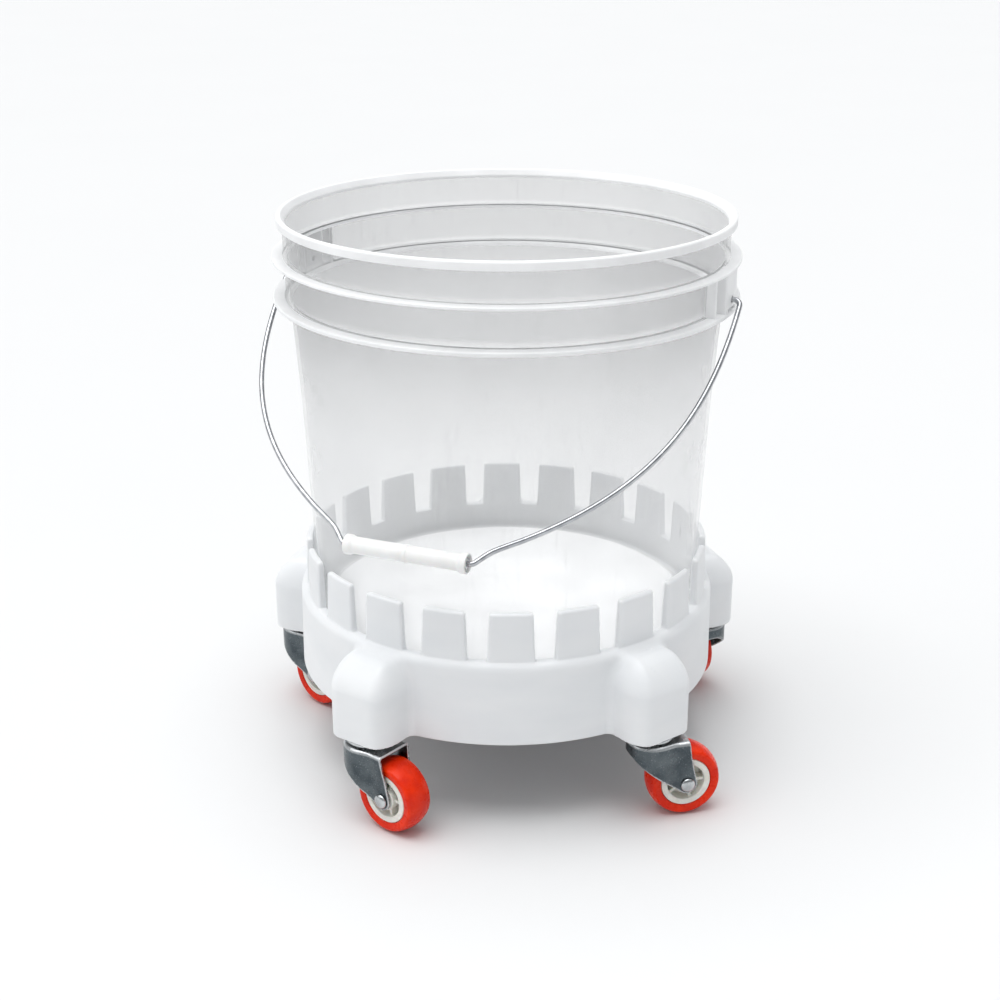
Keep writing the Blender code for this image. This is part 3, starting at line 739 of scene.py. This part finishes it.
def pod_dome(along, across, z):
    """A pod's solid: its end and sides stand upright, then roll over to a flat crest."""
    width, length, rise = POD_HALF_WIDTH - CREST_HALF_WIDTH, POD_END - CREST_END, POD_CREST - POD_SHOULDER
    side = np.maximum(np.abs(across) - CREST_HALF_WIDTH, 0) / width
    end = np.maximum(along - CREST_END, 0) / length
    high = np.maximum(z - POD_SHOULDER, 0) / rise
    power = POD_SQUARENESS
    plan = np.maximum((side**power + end**power) ** (1 / power), 1e-6)
    roll = POD_ROLL_POWER
    reach = (plan**roll + high**roll) ** (1 / roll)
    slopes = (side / plan) ** (power - 1) / width, (end / plan) ** (power - 1) / length
    slope = np.hypot(np.hypot(*slopes) * (plan / reach) ** (roll - 1), (high / reach) ** (roll - 1) / rise)
    return (reach - 1) / np.maximum(slope, POD_LEAST_SLOPE)


def nut_pocket(along, across, z):
    """The hexagonal seat of the insert nut."""
    flats = [
        np.abs(along * math.cos(turn) + across * math.sin(turn))
        for turn in (math.radians(30), math.radians(90), math.radians(150))
    ]
    return np.maximum(np.maximum.reduce(flats) - NUT_POCKET_RADIUS, z - NUT_TOP - GAP)


def dolly_field(x, y, z):
    """Skirt, shelf and pods, hollow from below, with ribs and bosses under the deck and a toothed collar."""
    radius, azimuth = np.hypot(x, y), np.arctan2(x, -y)
    from_pod = np.mod(azimuth, 2 * math.pi / PODS) - math.pi / PODS
    from_gap = np.mod(azimuth, 2 * math.pi / TEETH) - math.pi / TEETH
    along, across = radius * np.cos(from_pod), radius * np.sin(from_pod)
    above = (z - SHELF) / (TEETH_TOP - SHELF)

    skirt = radius - SKIRT_RADIUS + SKIRT_TAPER * (z - POD_BASE)
    side = join(skirt, pod_dome(along, across, z), POD_FILLET)
    outer = edge(side, z - SHELF, SHELF_ROUND)
    body = edge(outer, POD_BASE - z, HEM_ROUND)
    ceiling = np.minimum(z - DECK_UNDER, SKIRT_RADIUS - CEILING_INSET - radius)
    body = cut(body, edge(outer + SKIRT_WALL, ceiling, CEILING_ROUND), HOLLOW_ROUND)

    rib = np.maximum.reduce([
        np.abs(across) - RIB_HALF_WIDTH, DECK_UNDER - RIB_DEPTH - z, z - DECK_TOP + OVERLAP,
        radius - SKIRT_RADIUS + 2 * OVERLAP, DECK_HOLE - radius,
    ])
    body = join(body, rib, RIB_FOOT_ROUND)
    on_stem = np.hypot(along - SWIVEL_RADIUS, across)
    boss = edge(np.maximum(on_stem - BOSS_RADIUS, side + OVERLAP), POD_BASE - z, HOLLOW_ROUND)
    body = join(body, boss, RIB_FOOT_ROUND)
    body = cut(body, np.maximum(on_stem - STEM_RADIUS - GAP, z - STEM_TOP - STEM_RELIEF), 0.0)
    body = cut(body, nut_pocket(along - SWIVEL_RADIUS, across, z), 0.0)

    collar = edge(radius - TOOTH_FACE + TOOTH_LEAN * above, z - TEETH_TOP, TOOTH_ROUND)
    between = np.abs(radius * np.sin(from_gap)) - GAP_WIDTH / 2 - GAP_FLARE * above
    collar = cut(collar, np.maximum(between, SHELF - 2 * OVERLAP - z), TOOTH_ROUND)
    body = join(body, collar, TOOTH_FOOT_ROUND)
    bowl = edge(radius - RING_BORE + BOWL_DRAFT * (1 - above), DECK_TOP - z, BOWL_ROUND)
    body = cut(body, bowl, RING_ROUND)
    return edge(body, DECK_HOLE - radius, DECK_HOLE_ROUND)


def dolly():
    """Skirt, shelf, toothed collar, deck and five hollow pods, in one moulding.

    The grid is finer at edges. Its stops are degrees from a pod's middle, radii and heights, each
    with the spacing up to the next.
    """
    turns = [(0, 0.56), (14, 1.3), (23.2, 0.33), (25.2, 1.2), (28.8, 0.33), (30.8, 1.3), (36, 1.3)]
    half = graded(turns)
    middle = 180 / PODS
    degrees = np.concatenate([middle - half[::-1], middle + half[1:-1]])
    radii = [(0.0440, 0.0010), (0.0475, 0.0075), (0.1290, 0.0011), (0.1490, 0.0016), (0.1768, 0.0016)]
    heights = [
        (POD_BASE - 0.0012, 0.0010), (0.0645, 0.0040), (0.0785, 0.0010), (0.0815, 0.0040),
        (0.0930, 0.0011), (0.1010, 0.0016), (0.1205, 0.0040), (0.1490, 0.0009), (0.1542, 0.0009),
    ]
    lines = (np.radians(degrees), graded(radii), graded(heights))
    mesh = net("dolly_moulding", lines, dolly_field, round_about, PODS)
    piece("dolly_moulding", mesh, FINISHES["dolly_plastic"], "dolly", ["dolly_ring"])


# Pail, ears, bail and grip


def wall_radius(height):
    """Outside of the pail's tapered wall below its flanges."""
    heights, radii = zip(*WALL_STATIONS)
    return float(np.interp(height, heights, radii))


def pail():
    """One turned shell: its outside from the middle of the foot up to the rim, then its inside down."""
    low, high = LOW_FLANGE, HIGH_FLANGE
    over_low, under_high, over_high, under_rim = NECK_RADII
    stations = [height for height, _ in reversed(WALL_STATIONS)]
    outside = [
        (0.0, BUCKET_BASE + FOOT_LIFT, 0),
        (FOOT_RING[0], BUCKET_BASE + FOOT_LIFT, 0.0010),
        (FOOT_RING[1], BUCKET_BASE, 0.0008),
        (FOOT_RING[2], BUCKET_BASE, 0.0030),
        (wall_radius(stations[-1]), stations[-1] + 0.002, 0.0050),
        *[(wall_radius(height), height, 0.02) for height in reversed(stations[1:-1])],
        (wall_radius(low[0]), low[0], 0.0010),
        (FLANGE_RADIUS, low[0], 0.0010),
        (FLANGE_RADIUS, low[1], 0.0010),
        (over_low, low[1], 0.0010),
        (under_high, high[0], 0.0010),
        (FLANGE_RADIUS, high[0], 0.0007),
        (FLANGE_RADIUS, high[1], 0.0007),
        (over_high, high[1], 0.0010),
        (under_rim, RIM_TOP - RIM_DEPTH, 0.0008),
        (RIM_RADIUS, RIM_TOP - RIM_DEPTH, 0.0008),
        (RIM_RADIUS, RIM_TOP, 0.0020),
        (LIP_RADIUS, RIM_TOP, 0.0014),
    ]
    inside = [
        (under_rim - WALL, RIM_TOP - 0.0042, 0.0020),
        (under_rim - WALL, RIM_TOP - RIM_DEPTH, 0),
        (over_high - WALL, high[1], 0),
        (under_high - WALL, high[0], 0),
        (over_low - WALL, low[1], 0),
        *[(wall_radius(height) - WALL, height, 0) for height in stations[:-1]],
        (wall_radius(stations[-1]) - WALL, BUCKET_FLOOR, 0.0060),
        (0.0, BUCKET_FLOOR, 0),
    ]
    mesh = lathe("pail", [*outside, *inside], 200, closed=False)
    for finish in FINISHES["clear_pail"]:
        mesh.materials.append(finish)
    for face in mesh.polygons:
        out, height = face.center.xy.length, face.center.z
        on_flange = any(base < height < top for base, top in (low, high))
        proud = out > (wall_radius(height) + 0.0004 if height < low[1] else under_rim + 0.0002)
        if proud or on_flange or height > RIM_TOP - RIM_DEPTH or height < BUCKET_FLOOR + 0.001:
            face.material_index = 1
    obj = piece("pail", mesh, [], "bucket", ["bucket_shell"])
    weight_normals(obj)


def weight_normals(obj):
    """Keeps flat stretches shaded flat beside their rounded corners."""
    modifier = obj.modifiers.new("flat stretches stay flat", "WEIGHTED_NORMAL")
    modifier.keep_sharp = True


def ear_field(x, y, z):
    """The right ear, with x along the pivot axis: a lug between the flanges and a rib each side."""
    radius = np.hypot(x, y)
    low, high = LOW_FLANGE[1] - 0.0006, HIGH_FLANGE[0] + 0.0006
    level = np.maximum(low - z, z - high)
    lug = edge(np.abs(y) - EAR_HALF_WIDTH, radius - EAR_FACE, EAR_ROUND)
    window = edge(np.abs(y) - EAR_WINDOW_HALF_WIDTH, EAR_WINDOW_BACK - radius, 0.0010)
    window = np.maximum(window, z - (PIVOT.z - EAR_WINDOW_DROP))
    lug = cut(lug, window, 0.0006)
    rib = edge(np.abs(np.abs(y) - EAR_RIB_AT) - EAR_RIB_HALF_WIDTH, radius - EAR_RIB_FACE, 0.0007)
    body = np.maximum(np.maximum(join(lug, rib, 0.0010), level), EAR_ROOT - radius)
    return cut(body, np.hypot(y, z - PIVOT.z) - EAR_HOLE, 0.0005)


def ears():
    """The two ears, one mesh turned to each side."""
    lines = (
        even(0.1430, 0.1568, 0.0006),
        even(-0.0264, 0.0264, 0.0006),
        even(LOW_FLANGE[0], HIGH_FLANGE[1], 0.0009),
    )
    mesh = net("pail_ear", lines, ear_field)
    for name, sense in (("right", 1), ("left", -1)):
        matrix = frame_matrix(EAR_AXIS * sense, Vector((0, 0, 1)), Vector((0, 0, 0)))
        piece(f"pail_ear_{name}", mesh, FINISHES["clear_pail"][1:], "bucket", (), matrix)


def bezier(points, count):
    """Points along a cubic Bezier curve, its ends included."""
    a, b, c, d = (Vector(point) for point in points)
    spots = [i / (count - 1) for i in range(count)]
    return [a * (1 - t) ** 3 + 3 * b * t * (1 - t) ** 2 + 3 * c * t * t * (1 - t) + d * t**3 for t in spots]


def bail_half():
    """Half of the bail's centre line, from the grip to its hooked end in the ear.

    Each point is a distance along the pivot axis and one away from it.
    """
    step, slope = math.radians(STEP_SLOPE), math.radians(SWEEP_SLOPE)
    bend_at = (GRIP_HALF_LENGTH + 0.0005, GRIP_DROP - GRIP_BEND)
    into_step = arc(bend_at, GRIP_BEND, 90, 90 - STEP_SLOPE, 9)
    leg_top = (LEG_AT, EAR_BEND + 0.0010)
    pull = (LEG_AT, leg_top[1] + SWEEP_PULLS[0])
    lead = (
        SWEEP_END[0] + SWEEP_PULLS[1] * math.cos(slope),
        SWEEP_END[1] - SWEEP_PULLS[1] * math.sin(slope),
    )
    run = (SWEEP_END[0] - into_step[-1][0]) / 2
    before = (SWEEP_END[0] - run, SWEEP_END[1] + run * math.tan(step))
    after = bezier((SWEEP_END, lead, pull, leg_top), 60)
    turn = bezier((before, SWEEP_END, SWEEP_END, after[4]), 9)
    into_ear = arc((LEG_AT - EAR_BEND, EAR_BEND), EAR_BEND, 0, -90, 9)
    points = [*into_step, *turn, *after[5:], *into_ear, (STUB_END, 0.0)]
    return [tuple(point) for point in points]


def bail():
    """The wire, bent in one plane that holds the pivot axis and the grip."""
    away = (GRIP_AT - PIVOT).normalized()
    half = bail_half()
    line = [(-s, d) for s, d in reversed(half)] + [(0.0, GRIP_DROP)] + half
    path = [PIVOT + EAR_AXIS * s + away * d for s, d in line]
    mesh = swept("bail_rod", path, EAR_AXIS.cross(away).normalized(), WIRE_RADIUS)
    piece("bail_rod", mesh, FINISHES["bail_steel"], "bail", ["bail_wire"])


def grip():
    """A turned sleeve with a collar at each end, a raised band at its middle and hollow ends."""
    half, wall, core, pocket = GRIP_HALF_LENGTH, GRIP_WALL, GRIP_CORE, GRIP_POCKET
    bore = WIRE_RADIUS + 0.0001
    end = [
        (GRIP_RADIUS, half - 0.0062, 0.0020),
        (GRIP_COLLAR, half - 0.0038, 0.0015),
        (GRIP_COLLAR, half, 0.0006),
        (GRIP_COLLAR - wall, half, 0.0004),
        (GRIP_COLLAR - wall, half - pocket, 0.0004),
        (core, half - pocket, 0.0003),
        (core, half - 0.0008, 0.0002),
        (bore, half - 0.0008, 0.0002),
    ]
    band = [(GRIP_RADIUS, -0.0016, 0.0006), (GRIP_RADIUS + 0.0004, -0.0008, 0.0004)]
    middle = band + [(r, -h, rounding) for r, h, rounding in reversed(band)]
    profile = [(r, -h, rounding) for r, h, rounding in reversed(end)] + middle + end
    mesh = lathe("grip_sleeve", profile, 64)
    matrix = frame_matrix(Vector((0, 0, 1)), EAR_AXIS, GRIP_AT)
    finish = FINISHES["grip_plastic"]
    obj = piece("grip_sleeve", mesh, finish, "grip", ["bail_grip"], matrix)
    weight_normals(obj)
    lines = (
        even(-math.pi / 4, math.pi / 4, math.radians(5))[:-1],
        even(core - 0.0003, GRIP_COLLAR - wall + 0.0003, 0.0003),
        even(0.0, pocket, 0.0005),
    )
    spoke = net("grip_spokes", lines, spoke_field, round_about, 4)
    for name, sense in (("right", 1), ("left", -1)):
        outward = EAR_AXIS * sense
        matrix = frame_matrix(Vector((0, 0, 1)), outward, GRIP_AT + outward * (half - pocket))
        piece(f"grip_spokes_{name}", spoke, finish, "grip", (), matrix)


def spoke_field(x, y, z):
    """Four thin ribs between the grip's core and its collar."""
    radius = np.hypot(x, y)
    rib = np.minimum(np.abs(x), np.abs(y)) - GRIP_SPOKE_HALF_WIDTH
    reach = np.maximum(GRIP_CORE - 0.0001 - radius, radius - GRIP_COLLAR + GRIP_WALL - 0.0001)
    return np.maximum(edge(rib, z - GRIP_POCKET + 0.0010, 0.0003), np.maximum(reach, 0.0003 - z))


# Castors


def strip(x, z, start, end, radii):
    """A flat shape with round ends, tapering from one circle to another, as a distance."""
    apart = Vector(end) - Vector(start)
    length, lean = apart.length, (radii[0] - radii[1]) / apart.length
    along = ((x - start[0]) * apart.x + (z - start[1]) * apart.y) / length
    across = np.abs((z - start[1]) * apart.x - (x - start[0]) * apart.y) / length
    rise = math.sqrt(1 - lean**2)
    at = along * rise - across * lean
    side = along * lean + across * rise - radii[0]
    sides = np.where(at < 0, np.hypot(along, across) - radii[0], side)
    beyond = at > length * rise
    return np.where(beyond, np.hypot(along - length, across) - radii[1], sides)


def fork_field(x, y, z):
    """A pressed plate: round nose, flat legs that draw in towards the axle, and a rolled top edge."""
    axle, crown = (TRAIL, WHEEL_RADIUS), ((NOSE_AT + FORK_REAR) / 2, CROWN_TOP)
    half = (FORK_REAR - NOSE_AT) / 2
    spread = np.clip(1 - (CROWN_TOP - z) / FORK_DRAW_IN, 0, 1)
    legs = np.maximum(np.abs(y) - FORK_HALF_WIDTH - FORK_SPREAD * spread, -x)
    plan = join(np.hypot(x, y) - FORK_NOSE, legs, NOSE_BLEND)
    outer = edge(plan, z - CROWN_TOP, FORK_ROLL)
    plate = np.maximum(outer, -outer - SHEET)
    leg = strip(x, z, crown, axle, (half, FORK_END_RADIUS))
    cap = np.maximum(CROWN_TOP - NOSE_DEPTH - z, x - FORK_REAR)
    plate = edge(plate, join(leg, cap, NOSE_ROUND), FORK_SIDE_ROUND)
    plate = cut(plate, np.hypot(x, y) - STEM_RADIUS - GAP, 0.0003)
    return cut(plate, np.hypot(x - TRAIL, z - WHEEL_RADIUS) - AXLE_RADIUS - GAP, 0.0003)


def hub_field(x, y, z):
    """Barrel, rim and spokes about the axle, with pockets sunk from both sides."""
    radius = np.hypot(x, y)
    from_spoke = np.mod(np.arctan2(x, -y), 2 * math.pi / HUB_SPOKES) - math.pi / HUB_SPOKES
    depth = np.abs(z)
    barrel = edge(radius - HUB_BARREL, depth - HUB_HALF_WIDTH, 0.0005)
    outer = TREAD_BORE - GAP
    rim = np.maximum(radius - outer, HUB_RIM - radius)
    rim = edge(rim, depth - HUB_HALF_WIDTH + HUB_RIM_SINK, 0.0006)
    spoke = edge(np.abs(radius * np.sin(from_spoke)) - SPOKE_HALF_WIDTH, depth - SPOKE_DEPTH, 0.0004)
    arms = np.maximum(join(spoke, depth - WEB_DEPTH, 0.0008), radius - outer)
    return np.maximum(join(join(barrel, rim, 0.0), arms, 0.0009), HUB_BORE - radius)


def hub_mesh():
    """One spoke's sector of the wheel core, repeated all the way round."""
    pitch = 2 * math.pi / HUB_SPOKES
    lines = (
        even(0, pitch, math.radians(2.4))[:-1],
        even(HUB_BORE - 0.0004, TREAD_BORE + 0.0002, 0.0005),
        even(-HUB_HALF_WIDTH - 0.0005, HUB_HALF_WIDTH + 0.0005, 0.0007),
    )
    return net("wheel_hub", lines, hub_field, round_about, HUB_SPOKES)


def tread_mesh():
    """A turned tyre, its crown a shallow arc between rounded shoulders."""
    half, shoulder = TREAD_HALF_WIDTH, TREAD_HALF_WIDTH - TREAD_SHOULDER
    bow = (shoulder**2 + CROWN_DROP**2) / (2 * CROWN_DROP)
    reach = math.degrees(math.asin(shoulder / bow))
    crown = [(r, h, 0) for r, h in arc((WHEEL_RADIUS - bow, 0.0), bow, -reach, reach, 17)]
    crown[0], crown[-1] = ((r, h, 0.0012) for r, h, _ in (crown[0], crown[-1]))
    side = [
        (WHEEL_RADIUS - CROWN_DROP - 0.0016, half, 0.0010),
        (TREAD_BORE + 0.0004, half - 0.0005, 0.0004),
        (TREAD_BORE, half - 0.0011, 0.0002),
    ]
    profile = [(r, -h, rounding) for r, h, rounding in reversed(side)] + crown + side
    return lathe("wheel_tyre", profile, 128)


def rivet_mesh():
    """The axle, with a domed head outside each leg of the fork."""
    seat, brim = FORK_HALF_WIDTH + GAP, 0.0004
    cap = [
        (RIVET_HEAD * math.cos(turn), seat + brim + (RIVET_DOME - brim) * math.sin(turn))
        for turn in np.radians(range(0, 90, 12))
    ]
    half = [(AXLE_RADIUS, seat), (RIVET_HEAD, seat), *cap, (0.0, seat + RIVET_DOME)]
    profile = [(r, -h, 0) for r, h in reversed(half)] + [(r, h, 0) for r, h in half]
    return lathe("axle_pin", profile, 48, closed=False)


def collar_mesh(name, outer, bore, low, high, steps=48, rounding=0.0002):
    """A plain ring about Z, or a nut where it has six steps."""
    profile = [(outer, high, rounding), (outer, low, rounding), (bore, low, rounding), (bore, high, rounding)]
    return lathe(name, profile, steps)


def cup_mesh():
    """An inverted dish that the balls run in."""
    lip = CUP_TOP - CUP_SHEET
    profile = [
        (CUP_RADIUS, CUP_TOP, 0.0010),
        (CUP_RADIUS, CUP_BASE, 0.0003),
        (CUP_BORE, CUP_BASE, 0.0003),
        (CUP_BORE, lip, 0.0008),
        (STEM_RADIUS + GAP, lip, 0.0002),
        (STEM_RADIUS + GAP, CUP_TOP, 0.0002),
    ]
    return lathe("ball_cup", profile, 72)


def balls_mesh():
    """The bearing's balls, on a circle about the stem."""
    low, high = (corner.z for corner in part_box("ball_ring_rear"))
    radius = (high - low) / 2
    bm = bmesh.new()
    for k in range(BALLS):
        place = Matrix.Rotation(2 * math.pi * k / BALLS, 4, "Z")
        place = place @ Matrix.Translation((BALL_CIRCLE, 0, (low + high) / 2))
        bmesh.ops.create_uvsphere(bm, u_segments=16, v_segments=10, radius=radius, matrix=place)
    mesh = bpy.data.meshes.new("bearing_balls")
    bm.to_mesh(mesh)
    bm.free()
    mesh.shade_smooth()
    return mesh


def stem_mesh():
    """The swivel pin, its riveted head under the fork's crown."""
    head = WASHER_BASE - GAP
    profile = [
        (0.0, STEM_BASE, 0),
        (STEM_TAIL, STEM_BASE, 0.0010),
        (STEM_HEAD, head - 0.0004, 0.0004),
        (STEM_HEAD, head, 0.0002),
        (STEM_RADIUS, head, 0.0002),
        (STEM_RADIUS, STEM_TOP - 0.0008, 0.0002),
        (STEM_RADIUS - 0.0008, STEM_TOP, 0.0002),
        (0.0, STEM_TOP, 0),
    ]
    return lathe("swivel_pin", profile, 48, closed=False)


def castor_meshes():
    """One mesh of each castor piece, which all five castors share."""
    fork_lines = (
        even(0, 0.0480, FORK_GRID) - 0.0180,
        even(-0.0183, 0.0183, FORK_GRID),
        even(0.0165, CROWN_TOP + 0.0009, FORK_GRID),
    )
    bush, bore, around = SLEEVE_HALF_LENGTH, AXLE_RADIUS + GAP, STEM_RADIUS + GAP
    return {
        "fork": net("fork_pressing", fork_lines, fork_field),
        "hub": hub_mesh(),
        "tread": tread_mesh(),
        "rivet": rivet_mesh(),
        "sleeve": collar_mesh("axle_bush", SLEEVE_RADIUS, bore, -bush, bush),
        "cup": cup_mesh(),
        "balls": balls_mesh(),
        "washer": collar_mesh("swivel_washer", WASHER_RADIUS, around, WASHER_BASE, WASHER_TOP),
        "stem": stem_mesh(),
        "nut": collar_mesh("stem_nut", NUT_RADIUS, around, NUT_BASE, NUT_TOP, 6, 0.0003),
    }


def castor(name, meshes):
    """Places one castor's pieces. Its fork's mesh is a turned copy, and the others stand at their joints."""
    swivel, roll = JOINTS[f"swivel_{name}"], JOINTS[f"roll_{name}"]
    post = Vector((*swivel["pos_m"][:2], 0))
    axle = Vector(roll["pos_m"])
    up = Vector((0, 0, 1))
    pod = frame_matrix(post.normalized(), up, post)
    trail = frame_matrix((axle - post).xy.to_3d().normalized(), up, post)
    wheel = frame_matrix(up, Vector(roll["axis"]).normalized(), axle)
    places = (
        ("nut", "stem_nut", "insert_nut", "dolly", "fastener_steel", pod),
        ("stem", "swivel_pin", "stem", "dolly", "fastener_steel", pod),
        ("cup", "ball_cup", "race_cup", "dolly", "zinc_plate", pod),
        ("balls", "bearing_balls", "ball_ring", "dolly", "fastener_steel", pod),
        ("washer", "swivel_washer", "thrust_washer", "dolly", "fastener_steel", pod),
        ("fork", "fork_pressing", "fork", f"castor_{name}", "zinc_plate", trail),
        ("rivet", "axle_pin", "axle_rivet", f"castor_{name}", "zinc_plate", wheel),
        ("sleeve", "axle_bush", "axle_sleeve", f"castor_{name}", "fastener_steel", wheel),
        ("hub", "wheel_hub", "wheel_core", f"wheel_{name}", "hub_nylon", wheel),
        ("tread", "wheel_tyre", "wheel_tread", f"wheel_{name}", "tread_urethane", wheel),
    )
    for key, label, node, body, slot, matrix in places:
        finish = "polished_zinc" if key in ("cup", "rivet") else slot
        mesh = meshes[key]
        if key == "fork":
            mesh, matrix = mesh.copy(), Matrix.Translation(post)
            mesh.transform(trail.to_3x3().to_4x4())
        piece(f"{label}_{name}", mesh, FINISHES[finish], body, [f"{node}_{name}"], matrix)


# Stage


def floor():
    """A plain pale floor, wide enough to fill the view."""
    made = Surface("floor", 0.6)
    tint = made.ramp(made.noise(3, 3.0), (0.718, 0.72, 0.722), (0.722, 0.724, 0.726))
    made.set(Base_Color=tint)
    bm = bmesh.new()
    bmesh.ops.create_grid(bm, x_segments=8, y_segments=8, size=80)
    mesh = bpy.data.meshes.new("floor")
    bm.to_mesh(mesh)
    bm.free()
    mesh.materials.append(made.material)
    obj = bpy.data.objects.new("floor", mesh)
    bpy.context.scene.collection.objects.link(obj)


def sun(name, strength, spread, tilt, azimuth):
    """A soft distant light, tilted from straight down and coming from an azimuth."""
    light = bpy.data.lights.new(name, "SUN")
    light.energy = strength
    light.angle = math.radians(spread)
    obj = bpy.data.objects.new(name, light)
    turn = Matrix.Rotation(math.radians(azimuth), 4, "Z")
    obj.matrix_world = turn @ Matrix.Rotation(math.radians(tilt), 4, "X")
    bpy.context.scene.collection.objects.link(obj)


def studio():
    """A pale room under a bright ceiling, with a pale wall round its horizon."""
    world = bpy.data.worlds.new("studio")
    world.use_nodes = True
    tree = world.node_tree
    background = tree.nodes["Background"]
    background.inputs["Strength"].default_value = CEILING_LIGHT
    height = tree.nodes.new("ShaderNodeSeparateXYZ")
    room = tree.nodes.new("ShaderNodeValToRGB")
    elements = room.color_ramp.elements
    while len(elements) < len(ROOM_LIGHT):
        elements.new(0.5)
    for element, (position, grey) in zip(elements, ROOM_LIGHT):
        element.position = position
        element.color = (grey * 0.97, grey * 0.985, grey, 1.0)
    tree.links.new(tree.nodes.new("ShaderNodeTexCoord").outputs["Generated"], height.inputs[0])
    tree.links.new(height.outputs["Z"], room.inputs[0])
    tree.links.new(room.outputs[0], background.inputs["Color"])
    bpy.context.scene.world = world
    sun("overhead", strength=2.10, spread=50, tilt=8, azimuth=-75)
    sun("left", strength=0.40, spread=40, tilt=55, azimuth=-80)
    bpy.context.scene.view_settings.view_transform = "Standard"


def camera():
    """The view from in front and a little above, and the scene's camera."""
    data = bpy.data.cameras.new("camera")
    data.sensor_width = 36.0
    data.lens = CAMERA_LENS
    obj = bpy.data.objects.new("camera", data)
    azimuth = math.radians(CAMERA_AZIMUTH)
    obj.location = direction(azimuth) * CAMERA_DISTANCE + Vector((0, 0, CAMERA_HEIGHT))
    tilt, turn = math.radians(90 - CAMERA_PITCH), azimuth + math.radians(CAMERA_YAW)
    obj.rotation_euler = (tilt, 0.0, turn)
    bpy.context.scene.collection.objects.link(obj)
    bpy.context.scene.camera = obj


camera()
studio()
floor()
dolly()
pail()
ears()
bail()
grip()
shared = castor_meshes()
for castor_name in CASTORS:
    castor(castor_name, shared)
